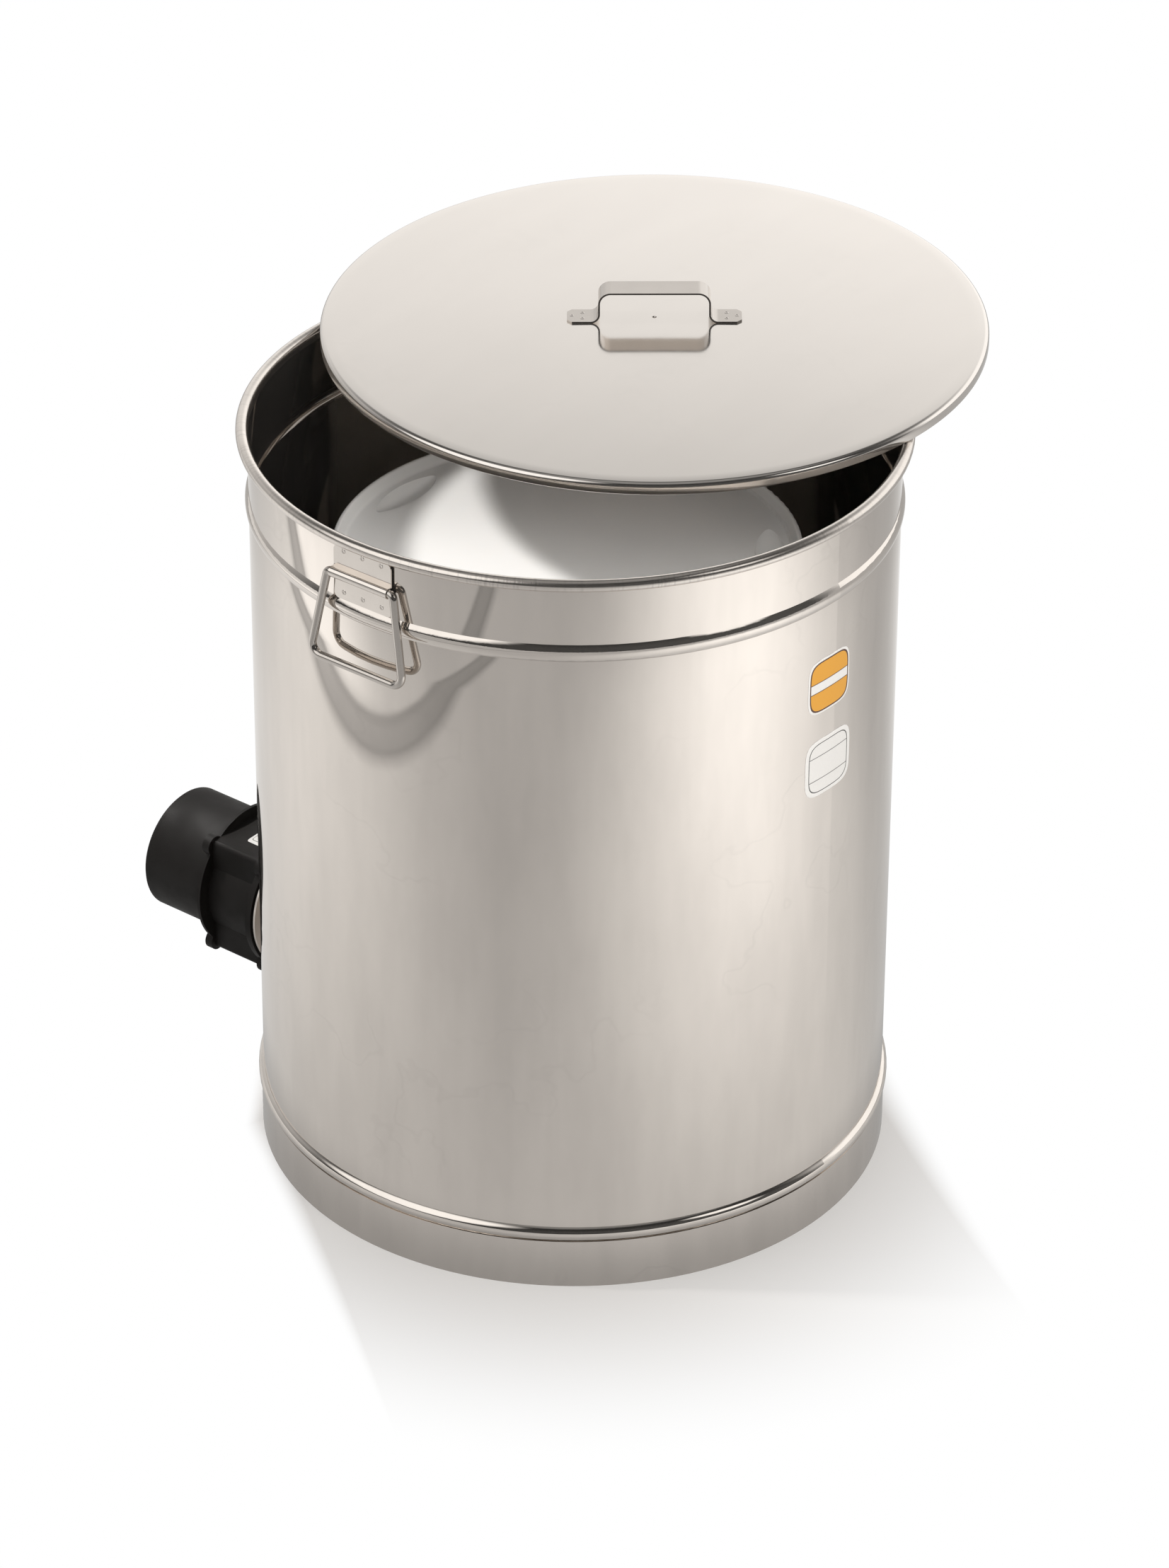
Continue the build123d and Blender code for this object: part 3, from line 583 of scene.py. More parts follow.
def rolled_steel(name, colour, roughness, finish, waves, round_drum):
    """Polished sheet: haze, rolling lines and marks in the gloss, slow waves, and on the drum its seam and rim."""
    spread, haze, marks = finish
    material, tree, shader, vector = new_material(name)
    shader.inputs["Metallic"].default_value = SHEET_METAL
    upward = axes_of(tree, vector)["Z"]
    if round_drum:
        unrolled = place_group(tree, group("unrolled_drum", unrolled_group), vector)
        vector = unrolled.outputs["Flat"]
    sheet = place_group(tree, group("rolled_sheet", sheet_group), vector, Line_Size=LINE_SIZE, Cloud_Size=CLOUD_SIZE)
    scuffs = place_group(tree, group("scuffs", scuff_group), vector, Amount=SCUFF_AMOUNT)
    cloudy = math(tree, "MULTIPLY", sheet.outputs["Haze"], spread)
    worn = math(tree, "MULTIPLY", scuffs.outputs["Mask"], spread * SCUFF_SPREAD)
    lines = math(tree, "MULTIPLY", sheet.outputs["Lines"], spread)
    rough = math(tree, "ADD", math(tree, "ADD", cloudy, worn), math(tree, "ADD", lines, roughness))
    height = math(tree, "MULTIPLY", sheet.outputs["Waves"], waves)
    marked = math(tree, "MULTIPLY", sheet.outputs["Marks"], marks)
    shade = math(tree, "ADD", math(tree, "MULTIPLY", sheet.outputs["Haze"], haze), marked)
    if round_drum:
        rolled = ramp(tree, upward, RIM_LOW, RIM_LOW + RIM_EDGE)
        ticks = noise(tree, stretched(tree, vector, (1.0, 0.04, 0.04)), TICK_SIZE, 2.0)
        ticked = math(tree, "MULTIPLY", ramp(tree, ticks, 0.45, 0.7), rolled)
        off_seam = math(tree, "ABSOLUTE", math(tree, "SUBTRACT", unrolled.outputs["Turn"], SEAM_TURN))
        seam = ramp(tree, off_seam, *SEAM_HALF_TURN, 1.0, 0.0)
        rough = math(tree, "ADD", rough, math(tree, "MULTIPLY", math(tree, "ADD", rolled, seam), RIM_ROUGHNESS))
        height = math(tree, "ADD", height, math(tree, "MULTIPLY", ticked, TICK_DEPTH))
        drawn = add(tree, "ShaderNodeMapRange", From_Min=BEAD_DRAWN[0], From_Max=BEAD_DRAWN[1])
        join(tree, upward, drawn.inputs["Value"])
        pulled = math(tree, "POWER", drawn.outputs["Result"], 2.0)
        height = math(tree, "SUBTRACT", height, math(tree, "MULTIPLY", pulled, BEAD_PULL))
        shade = math(tree, "MAXIMUM", shade, math(tree, "MAXIMUM", ticked, seam))
    join(tree, rough, shader.inputs["Roughness"])
    tint(tree, shader, colour, shade, SHEET_SHADE)
    set_bump(tree, shader, height, 1.0)
    return material


def wire_steel(name, colour, roughness):
    """Drawn wire and bent strip: bright, with short drawing marks in the gloss."""
    material, tree, shader, vector = new_material(name)
    shader.inputs["Metallic"].default_value = SHEET_METAL
    marks = noise(tree, stretched(tree, vector, (1.0, 1.0, 0.3)), 700.0, 2.0)
    cloud = noise(tree, vector, 60.0, 3.0)
    rough = ramp(tree, cloud, 0.3, 0.7, roughness, roughness + 0.04)
    join(tree, math(tree, "ADD", rough, math(tree, "MULTIPLY", marks, 0.05)), shader.inputs["Roughness"])
    tint(tree, shader, colour, cloud, 0.93)
    set_bump(tree, shader, cloud, 0.00002)
    return material


def satin_steel(name, colour):
    """Brushed sheet with a steady grain along its length."""
    material, tree, shader, vector = new_material(name)
    shader.inputs["Metallic"].default_value = 1.0
    brushed = noise(tree, stretched(tree, vector, (0.05, 1.0, 1.0)), 1100.0, 3.0)
    cloud = noise(tree, vector, 24.0, 3.0)
    join(tree, ramp(tree, cloud, 0.3, 0.7, 0.27, 0.4), shader.inputs["Roughness"])
    tint(tree, shader, colour, brushed, 0.86)
    set_bump(tree, shader, brushed, 0.00002)
    return material


def moulded_plastic(name, colour, roughness, grain_of):
    """Plain moulded plastic with a spark grain, of a size and a depth, and faint flow marks."""
    size, depth = grain_of
    material, tree, shader, vector = new_material(name)
    shader.inputs["Specular IOR Level"].default_value = PLASTIC_SHINE
    grain = place_group(tree, group("moulded_grain", grain_group), vector, Grain_Size=size)
    rough = ramp(tree, grain.outputs["Flow"], 0.3, 0.7, roughness - 0.06, roughness + 0.08)
    join(tree, rough, shader.inputs["Roughness"])
    tint(tree, shader, colour, grain.outputs["Flow"], 0.8)
    set_bump(tree, shader, grain.outputs["Grain"], depth)
    return material


def bucket_plastic(name, colour, roughness):
    """White food-grade plastic: smooth, slightly soft in the light, with faint flow marks and fine scuffs."""
    size, depth = BUCKET_GRAIN
    material, tree, shader, vector = new_material(name)
    shader.inputs["Subsurface Weight"].default_value = 0.12
    shader.inputs["Subsurface Radius"].default_value = (1.0, 0.9, 0.8)
    shader.inputs["Subsurface Scale"].default_value = BUCKET_DEPTH
    grain = place_group(tree, group("moulded_grain", grain_group), vector, Grain_Size=size)
    scuffs = place_group(tree, group("scuffs", scuff_group), vector, Amount=0.4)
    rough = ramp(tree, grain.outputs["Flow"], 0.3, 0.7, roughness - 0.03, roughness + 0.03)
    worn = math(tree, "MULTIPLY", scuffs.outputs["Mask"], 0.1)
    join(tree, math(tree, "ADD", rough, worn), shader.inputs["Roughness"])
    tint(tree, shader, colour, grain.outputs["Flow"], 0.985)
    set_bump(tree, shader, grain.outputs["Grain"], depth)
    return material


def cast_metal(name, colour, roughness):
    """Bare cast or plated metal with a soft mottle."""
    material, tree, shader, vector = new_material(name)
    shader.inputs["Metallic"].default_value = 1.0
    mottle = noise(tree, vector, 180.0, 4.0)
    join(tree, ramp(tree, mottle, 0.3, 0.7, roughness, roughness + 0.15), shader.inputs["Roughness"])
    tint(tree, shader, colour, mottle, 0.8)
    set_bump(tree, shader, mottle, 0.00003)
    return material


def printed_sticker(name, paper, bands, roughness):
    """Printed vinyl. Each band is (UV axis, low, high, colour) and is printed over the ones before it."""
    material, tree, shader, vector = new_material(name)
    axes = axes_of(tree, add(tree, "ShaderNodeUVMap", uv_map="print").outputs["UV"])
    mottle = noise(tree, vector, 900.0, 2.0)
    printed = blend(tree, mottle, paper, shaded(paper, 0.93))
    for axis, low, high, colour in bands:
        begun = ramp(tree, axes[axis], low - PRINT_SOFTNESS, low + PRINT_SOFTNESS)
        going_on = ramp(tree, axes[axis], high - PRINT_SOFTNESS, high + PRINT_SOFTNESS, 1.0, 0.0)
        printed = blend(tree, math(tree, "MULTIPLY", begun, going_on), printed, colour)
    join(tree, printed, shader.inputs["Base Color"])
    join(tree, ramp(tree, mottle, 0.3, 0.7, roughness, roughness + 0.12), shader.inputs["Roughness"])
    set_bump(tree, shader, mottle, 0.000004)
    return material


def wear(material, *names):
    """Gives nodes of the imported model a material."""
    for name in names:
        NODES[name].data.materials.clear()
        NODES[name].data.materials.append(material)


# New pieces


def spin_profile(profile, steps):
    """A bmesh made by turning (radius, height) points about Z, with its pole and seam closed."""
    mesh = bmesh.new()
    points = [mesh.verts.new((radius, 0, height)) for radius, height in profile]
    edges = [mesh.edges.new(pair) for pair in zip(points, points[1:])]
    bmesh.ops.spin(
        mesh, geom=points + edges, cent=(0, 0, 0), axis=(0, 0, 1), angle=2 * pi, steps=steps, use_merge=True,
    )
    bmesh.ops.remove_doubles(mesh, verts=mesh.verts, dist=1e-6)
    bmesh.ops.recalc_face_normals(mesh, faces=mesh.faces)
    return mesh


def keep_piece(name, meshes, material, body):
    """One smooth object of several bmeshes, riding on a body."""
    data = bpy.data.meshes.new(name)
    whole = bmesh.new()
    for mesh in meshes:
        mesh.to_mesh(data)
        mesh.free()
        whole.from_mesh(data)
    for face in whole.faces:
        face.smooth = True
    whole.to_mesh(data)
    whole.free()
    data.set_sharp_from_angle(angle=SHARP_ANGLE)
    data.materials.append(material)
    piece = bpy.data.objects.new(name, data)
    bpy.context.scene.collection.objects.link(piece)
    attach(piece, body)
    return piece


def spot_weld(radius, place):
    """A spot weld: a shallow raised ring round a flat dish, put in place by a matrix."""
    mesh = spin_profile([(radius * out, radius * up) for out, up in SPOT_PROFILE], SPOT_STEPS)
    bmesh.ops.transform(mesh, matrix=place, verts=mesh.verts)
    return mesh


def lid_frame():
    """From the lid's own frame, skirt down on zero, to where it lies across the rim."""
    shift = Vector((cos(LID_SHIFT_AZIMUTH), sin(LID_SHIFT_AZIMUTH), 0)) * LID_SHIFT
    chord = Matrix.Translation(shift * 0.5 + Vector((0, 0, LID_SEAT)))
    across = Vector((-sin(LID_SHIFT_AZIMUTH), cos(LID_SHIFT_AZIMUTH), 0))
    tilt = chord @ Matrix.Rotation(-LID_TILT, 4, across) @ chord.inverted()
    return tilt @ Matrix.Translation(shift + Vector((0, 0, LID_SEAT)))


def sticker(width, height, corner, thickness):
    """A thin sticker on the XY plane. Its UV map holds the share of the way to the edge, and of the height."""
    lip, lip_share = STICKER_LIP
    rings = [(ring / STICKER_RINGS * STICKER_FLAT, thickness) for ring in range(STICKER_RINGS + 1)]
    mesh = spin_profile(rings + [(lip, thickness * lip_share), (1.0, 0.0)], STICKER_STEPS)
    layer = mesh.loops.layers.uv.new("print")
    for vertex in mesh.verts:
        share = vertex.co.xy.length
        if share > 0:
            across, up = vertex.co.xy / share
            bulge = (abs(across) ** corner + abs(up) ** corner) ** (-1 / corner)
            vertex.co.x *= bulge
            vertex.co.y *= bulge
        for loop in vertex.link_loops:
            loop[layer].uv = (share, vertex.co.y * 0.5 + 0.5)
        vertex.co.x *= width / 2
        vertex.co.y *= height / 2
    return mesh


def wrap_on_wall(mesh, azimuth, height):
    """Lays a flat sticker on the drum's wall, its Y upwards."""
    for vertex in mesh.verts:
        turn = azimuth + vertex.co.x / DRUM_RADIUS
        radius = DRUM_RADIUS + vertex.co.z
        vertex.co = (radius * cos(turn), radius * sin(turn), height + vertex.co.y)


def spun_lid():
    """The lid where it lies: crowned top round its vent, rounded shoulder, and a skirt with a rounded hem."""
    flat = LID_RADIUS - LID_SHOULDER
    level = LID_SKIRT - LID_SHOULDER
    half = [step * pi / LID_BEND_STEPS for step in range(LID_BEND_STEPS + 1)]
    quarter = [turn / 2 for turn in half]
    across = [LID_VENT + (flat - LID_VENT) * step / LID_CROWN_STEPS for step in range(LID_CROWN_STEPS + 1)]
    crown = [(radius, LID_SKIRT + LID_CROWN * (1 - (radius / flat) ** 2)) for radius in across]
    shoulder = [(flat + LID_SHOULDER * sin(turn), level + LID_SHOULDER * cos(turn)) for turn in quarter[1:]]
    hem = LID_RADIUS - LID_SHEET
    edge = [(hem + LID_SHEET * cos(turn), LID_SHEET * (1 - sin(turn))) for turn in half]
    fold = [(hem - LID_SHEET, LID_HEM), (hem, LID_HEM)]
    inner = LID_SHOULDER - LID_SHEET
    under_shoulder = [(flat + inner * sin(turn), level + inner * cos(turn)) for turn in reversed(quarter)]
    under_crown = [(radius, height - LID_SHEET) for radius, height in reversed(crown[:-1])]
    outline = crown + shoulder + edge + fold + under_shoulder + under_crown
    mesh = spin_profile(outline + outline[:1], LID_STEPS)
    bmesh.ops.transform(mesh, matrix=lid_frame(), verts=mesh.verts)
    return mesh


def pipe_weld(radius, bead, ripples, place, follow_wall):
    """A rippled weld bead round the air pipe; on the drum it follows the round wall."""
    turns = [side * 2 * pi / WELD_SIDES for side in range(WELD_SIDES)]
    profile = [(radius + bead * cos(turn), bead * sin(turn)) for turn in turns]
    mesh = spin_profile(profile + profile[:1], ripples * WELD_STEPS_PER_RIPPLE)
    for vertex in mesh.verts:
        flat = Vector((vertex.co.x, vertex.co.y, 0))
        turn = Vector((1, 0)).angle_signed(flat.xy, 0)
        swell = 1 + WELD_SWELL * sin(turn * ripples)
        middle = flat.normalized() * radius
        vertex.co = middle + (vertex.co - middle) * swell
        if follow_wall:
            vertex.co.z += (DRUM_RADIUS**2 - vertex.co.x**2) ** 0.5 - DRUM_RADIUS
    bmesh.ops.transform(mesh, matrix=place, verts=mesh.verts)
    return mesh


class HONEYTANK_OT_drum(bpy.types.Operator):
    """Polished steel of the drum, its foot ring, lid and handles"""

    bl_idname = "honeytank.drum"
    bl_label = "Drum and Lid"

    def execute(self, context):
        drum = context.scene.honey_drum
        steel = tuple(drum.steel)
        wear(rolled_steel("drum_wall", steel, drum.wall_gloss, WALL_SHEET, WALL_WAVES, True), "tank_shell")
        wear(rolled_steel("foot_band", steel, drum.wall_gloss, FOOT_SHEET, WALL_WAVES, True), "foot_ring")
        pale = tuple(share * value for share, value in zip(LID_TINT, steel))
        lid = rolled_steel("lid_sheet", pale, drum.lid_gloss, LID_SHEET_FINISH, LID_WAVES, False)
        wear(lid, "lid")
        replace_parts(keep_piece("spun_lid", [spun_lid()], lid, "lid"), "lid")
        wear(wire_steel("bright_strap", steel, drum.wire_gloss), "front_strap", "back_strap")
        # Bails and lid handle: the steel darkened by painted shade
        wire = wire_steel("bright_wire", shaded(steel, WIRE_PAINTED_SHADE), drum.wire_gloss)
        wear(wire, "front_bail", "back_bail", "lid_handle")
        wear(satin_steel("satin_sheet", shaded(steel, SATIN_SHADE)), "floor_pan", "stand_plate", "stand_legs")
        return {"FINISHED"}


class HONEYTANK_OT_spot_welds(bpy.types.Operator):
    """Spot welds that hold the handle straps and the lid's handle"""

    bl_idname = "honeytank.spot_welds"
    bl_label = "Spot Welds"

    def execute(self, context):
        drum = context.scene.honey_drum
        steel = wire_steel("weld_spots", shaded(drum.steel, SPOT_SHADE), drum.wire_gloss + SPOT_ROUGHNESS)
        for side, node in ((-1, "front_strap"), (1, "back_strap")):
            low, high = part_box(node)
            wall = low.y if side > 0 else high.y
            middle = (low.z + high.z) / 2
            outward = Matrix.Rotation(radians(-90 * side), 4, "X")
            welds = []
            for row in STRAP_WELD_ROWS:
                for column in (-1, 0, 1):
                    spot = Vector((column * STRAP_WELD_SPACING, wall + side * STRAP_SHEET, middle + row))
                    welds.append(spot_weld(drum.weld_radius, Matrix.Translation(spot) @ outward))
            keep_piece(f"{node}_welds", welds, steel, "tank")
        tab_top = Matrix.Translation((0, 0, LID_SKIRT + LID_TAB_RISE + GRIP_STRIP))
        lid = lid_frame() @ tab_top @ Matrix.Rotation(GRIP_AZIMUTH, 4, "Z")
        welds = []
        for side in (-1, 1):
            for along, across in GRIP_WELDS:
                spot = Matrix.Translation((side * (GRIP_TAB_MIDDLE + along), across, 0))
                welds.append(spot_weld(drum.weld_radius * GRIP_SPOT_SHARE, lid @ spot))
        keep_piece("lid_handle_welds", welds, steel, "lid")
        return {"FINISHED"}


class HONEYTANK_OT_stickers(bpy.types.Operator):
    """Stickers without words on the drum's wall and on the fan"""

    bl_idname = "honeytank.stickers"
    bl_label = "Stickers"

    def execute(self, context):
        look = context.scene.honey_stickers
        paper, field, line = tuple(look.paper), tuple(look.field), tuple(look.line)
        amber_print = [
            ("X", -1.0, 0.93, line),
            ("X", -1.0, 0.88, field),
            ("Y", 0.405, 0.595, line),
            ("Y", 0.42, 0.58, paper),
            ("X", 0.88, 0.93, line),
            ("X", 0.93, 2.0, paper),
        ]
        pale_print = [
            ("X", 0.84, 0.87, PRINT_GREY),
            ("Y", 0.29, 0.302, PRINT_GREY),
            ("Y", 0.698, 0.71, PRINT_GREY),
            ("X", 0.87, 2.0, paper),
        ]
        label_print = [("X", 0.82, 0.85, PRINT_GREY)]
        for name, (azimuth, middle, width, height), print_of in (
            ("amber_sticker", AMBER_STICKER, amber_print), ("pale_sticker", PALE_STICKER, pale_print),
        ):
            mesh = sticker(width, height, WALL_STICKER_CORNER, look.thickness)
            wrap_on_wall(mesh, azimuth, middle)
            vinyl = printed_sticker(name, paper, print_of, STICKER_ROUGHNESS)
            keep_piece(name, [mesh], vinyl, "tank")
        middle, width, height = FAN_LABEL
        mesh = sticker(width, height, FAN_LABEL_CORNER, look.thickness)
        on_top = Matrix.Translation((middle, 0, FAN_HEIGHT + FAN_TOP))
        bmesh.ops.transform(mesh, matrix=on_top, verts=mesh.verts)
        label = printed_sticker("fan_label", shaded(paper, FAN_LABEL_SHADE), label_print, FAN_LABEL_ROUGHNESS)
        keep_piece("fan_label", [mesh], label, "tank")
        return {"FINISHED"}


class HONEYTANK_OT_bucket(bpy.types.Operator):
    """White plastic of the bucket and its cover"""

    bl_idname = "honeytank.bucket"
    bl_label = "Bucket"

    def execute(self, context):
        bucket = context.scene.honey_bucket
        wear(bucket_plastic("bucket_white", tuple(bucket.plastic), bucket.gloss), "honey_bucket", "bucket_cover")
        return {"FINISHED"}


class HONEYTANK_OT_fan(bpy.types.Operator):
    """Black mouldings of the fan, and the metal pieces of the air inlet"""

    bl_idname = "honeytank.fan"
    bl_label = "Fan and Air Inlet"

    def execute(self, context):
        fan = context.scene.honey_fan
        black = tuple(fan.plastic)
        wear(moulded_plastic("fan_black", black, fan.gloss, FAN_GRAIN), "fan_housing", "fan_spigot")
        inner_black = shaded(black, FAN_INNER_SHADE)
        inner = moulded_plastic("fan_inner_black", inner_black, fan.gloss - FAN_INNER_POLISH, FAN_INNER_GRAIN)
        wear(inner, "impeller", "motor_mount", "intake_grille", "cable_gland")
        wear(moulded_plastic("seal_rubber", SEAL_COLOUR, SEAL_ROUGHNESS, SEAL_GRAIN), "flange_gasket")
        steel = tuple(context.scene.honey_drum.steel)
        wear(satin_steel("inlet_steel", shaded(steel, INLET_SHADE)), "stub_pipe", "adapter_plate")
        wear(cast_metal("bare_aluminium", *ALUMINIUM), "heater_carrier", "heater_fins", "fan_motor")
        wear(cast_metal("zinc_plate", *ZINC), "plate_screws", "spigot_screws", "motor_shaft")
        along = Matrix.Translation((0, 0, FAN_HEIGHT)) @ Matrix.Rotation(radians(-90), 4, "Y")
        weld = cast_metal("weld_bead", shaded(steel, WELD_SHADE), WELD_ROUGHNESS)
        at_plate = along @ Matrix.Translation((0, 0, -PLATE_FACE))
        at_wall = along @ Matrix.Translation((0, 0, DRUM_RADIUS))
        beads = [
            pipe_weld(PIPE_RADIUS, PLATE_WELD, fan.ripples, at_plate, False),
            pipe_weld(PIPE_RADIUS, WALL_WELD, fan.ripples, at_wall, True),
        ]
        keep_piece("pipe_welds", beads, weld, "tank")
        return {"FINISHED"}


# Stage


def floor_level(tree, side):
    """Painted light and shade of the floor for reflections alone: three soft pools, a darker strip and shade by the
    foot.

    Also gives the place on the floor as seen from the camera's side, and the distance from the drum's axis.
    """
    place = add(tree, "ShaderNodeTexCoord").outputs["Object"]
    mapping = add(tree, "ShaderNodeMapping", Rotation=(0, 0, -side))
    join(tree, place, mapping.inputs["Vector"])
    turned = mapping.outputs["Vector"]
    level = FLOOR_BASE
    # Pools of painted light
    for middle, reach, amount in FLOOR_PAINTED_POOLS:
        gap = add(tree, "ShaderNodeVectorMath", operation="DISTANCE")
        join(tree, turned, gap.inputs[0])
        gap.inputs[1].default_value = (*middle, 0)
        level = math(tree, "ADD", level, ramp(tree, gap.outputs["Value"], 0.0, reach, amount, 0.0))
    # Painted shadow along a straight edge and painted light beyond it
    edge = math(tree, "ADD", along_axis(tree, turned, FLOOR_STRIP_ACROSS), FLOOR_STRIP_REACH)
    away = ramp(tree, axes_of(tree, turned)["Y"], *FLOOR_BEYOND_AWAY)
    beyond = math(tree, "MULTIPLY", ramp(tree, edge, *FLOOR_BEYOND), away)
    level = math(tree, "ADD", level, math(tree, "MULTIPLY", beyond, FLOOR_BEYOND_GAIN))
    level = math(tree, "MULTIPLY", level, stepped(tree, edge, FLOOR_SHADOW_STRIP))
    length = add(tree, "ShaderNodeVectorMath", operation="LENGTH")
    join(tree, place, length.inputs[0])
    distance = length.outputs["Value"]
    # Painted shade next to the foot
    return math(tree, "MULTIPLY", level, ramp(tree, distance, *FLOOR_FOOT_PAINTED_SHADE)), turned, distance


def floor_material(colour, side):
    """Pale floor that keeps the shadow near the drum and runs out to white for the camera; reflections see its
    painted light and shade instead.
    """
    material = bpy.data.materials.new("studio_floor")
    material.use_nodes = True
    tree = material.node_tree
    tree.nodes.clear()
    level, turned, distance = floor_level(tree, side)
    path = add(tree, "ShaderNodeLightPath")
    matt = add(tree, "ShaderNodeBsdfDiffuse", Color=(*colour, 1.0))
    white = add(tree, "ShaderNodeEmission", Color=(1, 1, 1, 1), Strength=1.0)
    # Emission of painted light and shade that glossy rays see in place of the floor
    mirrored = add(tree, "ShaderNodeEmission", Color=STUDIO_TINT)
    join(tree, level, mirrored.inputs["Strength"])
    fade = ramp(tree, distance, *FLOOR_FADE)
    for axis, near, far in FLOOR_CLEAR:
        fade = math(tree, "MAXIMUM", fade, ramp(tree, along_axis(tree, turned, axis), near, far))
    seen = add(tree, "ShaderNodeMixShader")
    join(tree, math(tree, "MULTIPLY", fade, path.outputs["Is Camera Ray"]), seen.inputs["Fac"])
    join(tree, matt.outputs[0], seen.inputs[1])
    join(tree, white.outputs[0], seen.inputs[2])
    mix = add(tree, "ShaderNodeMixShader")
    join(tree, path.outputs["Is Glossy Ray"], mix.inputs["Fac"])
    join(tree, seen.outputs[0], mix.inputs[1])
    join(tree, mirrored.outputs[0], mix.inputs[2])
    output = add(tree, "ShaderNodeOutputMaterial")
    join(tree, mix.outputs[0], output.inputs["Surface"])
    return material


def towards(azimuth, elevation):
    """The direction to a lamp at an azimuth from the front and an elevation."""
    level = cos(elevation)
    return Vector((level * sin(azimuth), -level * cos(azimuth), sin(elevation)))


def set_world(strength, side):
    """Even light all round; for reflections only, a pale wall behind and painted lamp highlights; the camera sees
    white.
    """
    world = bpy.data.worlds.new("studio_sky")
    world.use_nodes = True
    tree = world.node_tree
    tree.nodes.clear()
    path = add(tree, "ShaderNodeLightPath")
    direction = add(tree, "ShaderNodeTexCoord").outputs["Generated"]
    behind = along_axis(tree, direction, (-sin(side), cos(side), 0))
    right = along_axis(tree, direction, (cos(side), sin(side), 0))
    wall = ramp(tree, axes_of(tree, direction)["Z"], *SKY_WALL)
    wall = math(tree, "MULTIPLY", wall, math(tree, "ADD", math(tree, "MULTIPLY", right, SKY_LEAN), 1.0))
    wall = math(tree, "MULTIPLY", wall, ramp(tree, behind, *SKY_BEHIND, SKY_FRONT, 1.0))
    # Painted highlights that only glossy rays see
    for azimuth, elevation, reach, core, amount in SKY_PAINTED_HIGHLIGHTS:
        along = along_axis(tree, direction, towards(side + azimuth, elevation))
        wall = math(tree, "ADD", wall, ramp(tree, along, cos(reach), cos(core), 0.0, amount))
    wall = math(tree, "MINIMUM", wall, SKY_LIMIT)
    glossy = path.outputs["Is Glossy Ray"]
    even = math(tree, "MULTIPLY", math(tree, "SUBTRACT", 1.0, glossy), strength)
    light = add(tree, "ShaderNodeBackground", Color=STUDIO_TINT)
    level = math(tree, "ADD", math(tree, "MULTIPLY", wall, glossy), even)
    join(tree, math(tree, "MAXIMUM", level, path.outputs["Is Camera Ray"]), light.inputs["Strength"])
    output = add(tree, "ShaderNodeOutputWorld")
    join(tree, light.outputs[0], output.inputs["Surface"])
    bpy.context.scene.world = world


def soft_lamp(name, power, size, spread, place, target, mirrored):
    """A square soft lamp with a grid, at (azimuth, elevation, distance) from the point that it is aimed at."""
    azimuth, elevation, distance = place
    target = Vector(target)
    spot = target + towards(azimuth, elevation) * distance
    data = bpy.data.lights.new(name, "AREA")
    data.shape = "SQUARE"
    data.size = size
    data.spread = spread
    data.energy = power
    data.color = LAMP_TINT
    lamp = bpy.data.objects.new(name, data)
    lamp.location = spot
    lamp.rotation_euler = (spot - target).to_track_quat("Z", "Y").to_euler()
    lamp.visible_camera = False
    lamp.visible_glossy = mirrored
    bpy.context.scene.collection.objects.link(lamp)


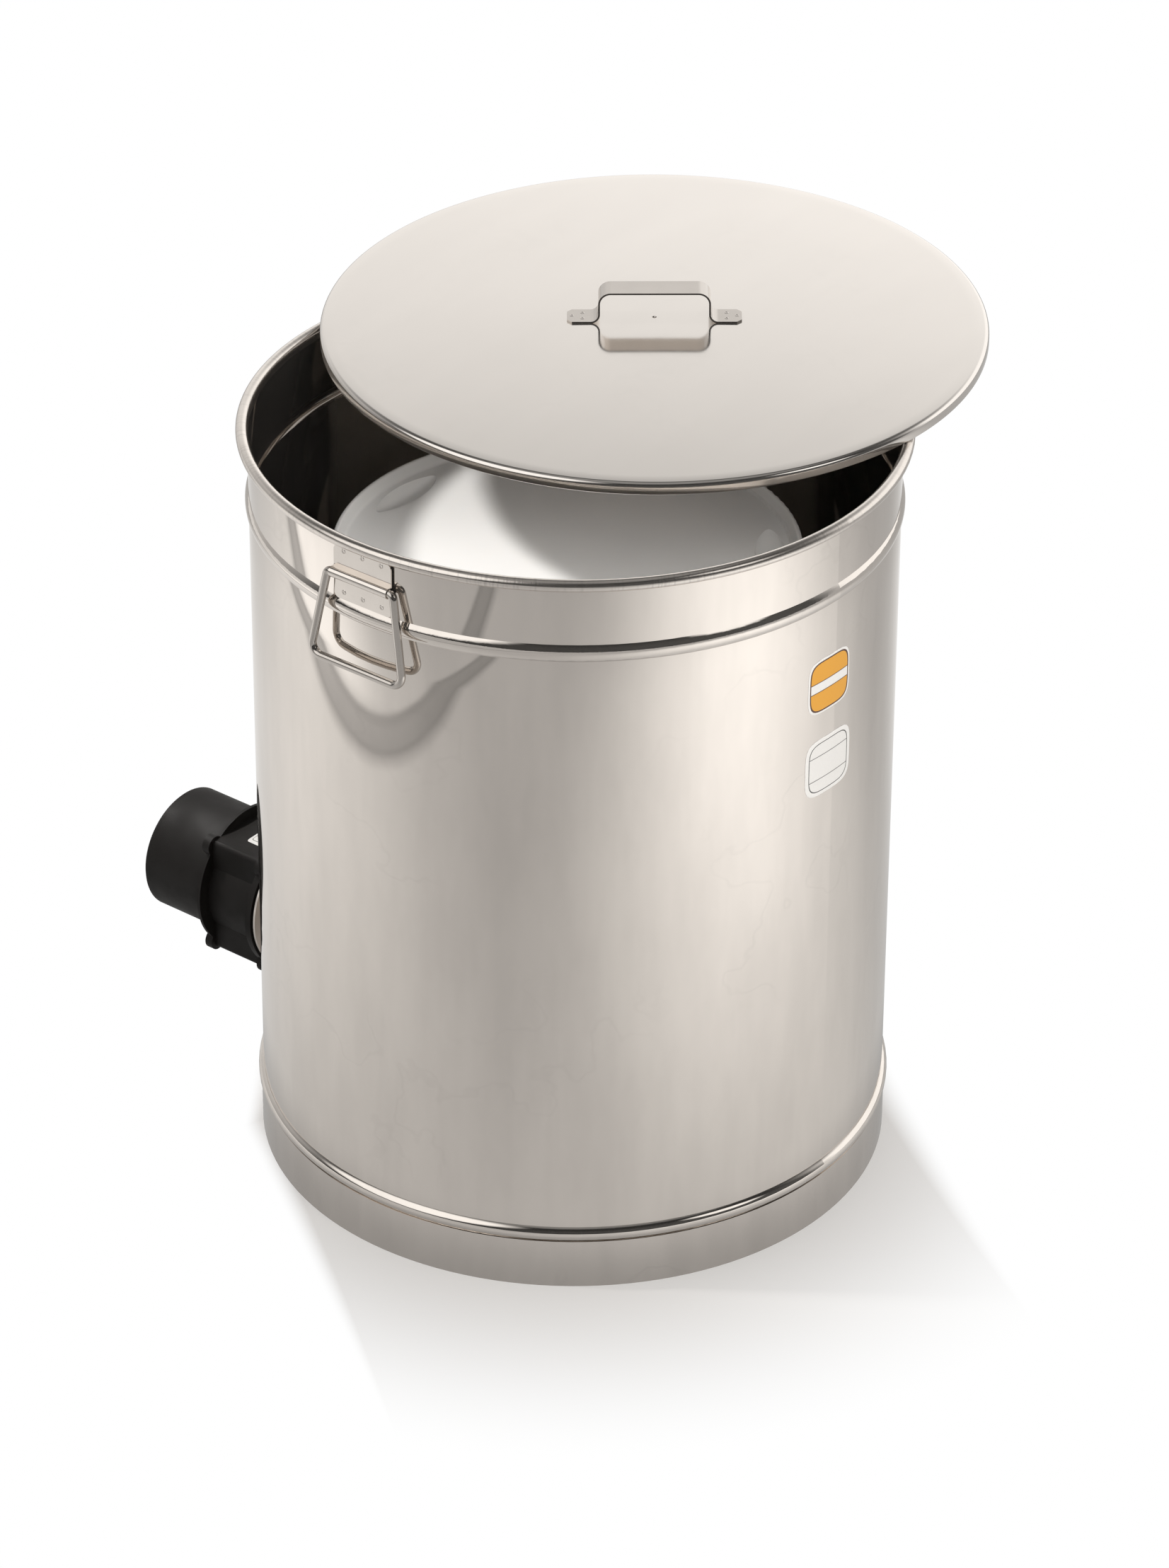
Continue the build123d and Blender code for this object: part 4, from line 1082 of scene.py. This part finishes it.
class HONEYTANK_OT_stage(bpy.types.Operator):
    """Floor, sky, lamps and camera"""

    bl_idname = "honeytank.stage"
    bl_label = "Stage"

    def execute(self, context):
        stage = context.scene.honey_stage
        mesh = bmesh.new()
        bmesh.ops.create_grid(mesh, x_segments=2, y_segments=2, size=FLOOR_SPAN)
        data = bpy.data.meshes.new("studio_floor")
        mesh.to_mesh(data)
        mesh.free()
        data.materials.append(floor_material(tuple(stage.floor), stage.azimuth))
        floor = bpy.data.objects.new("studio_floor", data)
        context.scene.collection.objects.link(floor)
        side = stage.azimuth
        set_world(stage.sky, side)
        for name, power, (turned, elevation, distance), size, spread, target, mirrored in LAMPS:
            place = (side + turned, elevation, distance)
            soft_lamp(name, getattr(stage, power), size, spread, place, target, mirrored)
        data = bpy.data.cameras.new("photo_camera")
        data.sensor_width = SENSOR_WIDTH
        data.lens = stage.lens
        camera = bpy.data.objects.new("photo_camera", data)
        turn = Matrix.Rotation(side + stage.swing, 4, "Z")
        look = turn @ Matrix.Rotation(pi / 2 - stage.pitch, 4, "X") @ Matrix.Rotation(stage.roll, 4, "Z")
        spot = Matrix.Rotation(side, 4, "Z") @ Vector((0, -stage.distance, stage.height))
        camera.matrix_world = Matrix.Translation(spot) @ look
        context.scene.collection.objects.link(camera)
        context.scene.camera = camera
        context.scene.view_settings.view_transform = "Standard"
        return {"FINISHED"}


class HONEYTANK_PT_panel(bpy.types.Panel):
    """Steps that dress the tank, in order"""

    bl_idname = "HONEYTANK_PT_panel"
    bl_label = "Honey Tank"
    bl_space_type = "VIEW_3D"
    bl_region_type = "UI"
    bl_category = "Honey Tank"

    def draw(self, context):
        for settings in SETTINGS:
            group_of = getattr(context.scene, settings)
            for name in group_of.__annotations__:
                self.layout.prop(group_of, name)
        for step in STEPS:
            self.layout.operator(step.bl_idname)


STEPS = (
    HONEYTANK_OT_drum,
    HONEYTANK_OT_spot_welds,
    HONEYTANK_OT_stickers,
    HONEYTANK_OT_bucket,
    HONEYTANK_OT_fan,
    HONEYTANK_OT_stage,
)
SETTINGS = {
    "honey_drum": DrumSettings,
    "honey_stickers": StickerSettings,
    "honey_bucket": BucketSettings,
    "honey_fan": FanSettings,
    "honey_stage": StageSettings,
}


def register():
    for name, kind in SETTINGS.items():
        bpy.utils.register_class(kind)
        setattr(bpy.types.Scene, name, PointerProperty(type=kind))
    for kind in (*STEPS, HONEYTANK_PT_panel):
        bpy.utils.register_class(kind)


def unregister():
    for kind in (HONEYTANK_PT_panel, *reversed(STEPS)):
        bpy.utils.unregister_class(kind)
    for name, kind in reversed(SETTINGS.items()):
        delattr(bpy.types.Scene, name)
        bpy.utils.unregister_class(kind)


def main():
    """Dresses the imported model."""
    register()
    bpy.ops.honeytank.drum()
    bpy.ops.honeytank.spot_welds()
    bpy.ops.honeytank.stickers()
    bpy.ops.honeytank.bucket()
    bpy.ops.honeytank.fan()
    bpy.ops.honeytank.stage()
    bpy.context.view_layer.update()


if __name__ == "__main__":
    main()
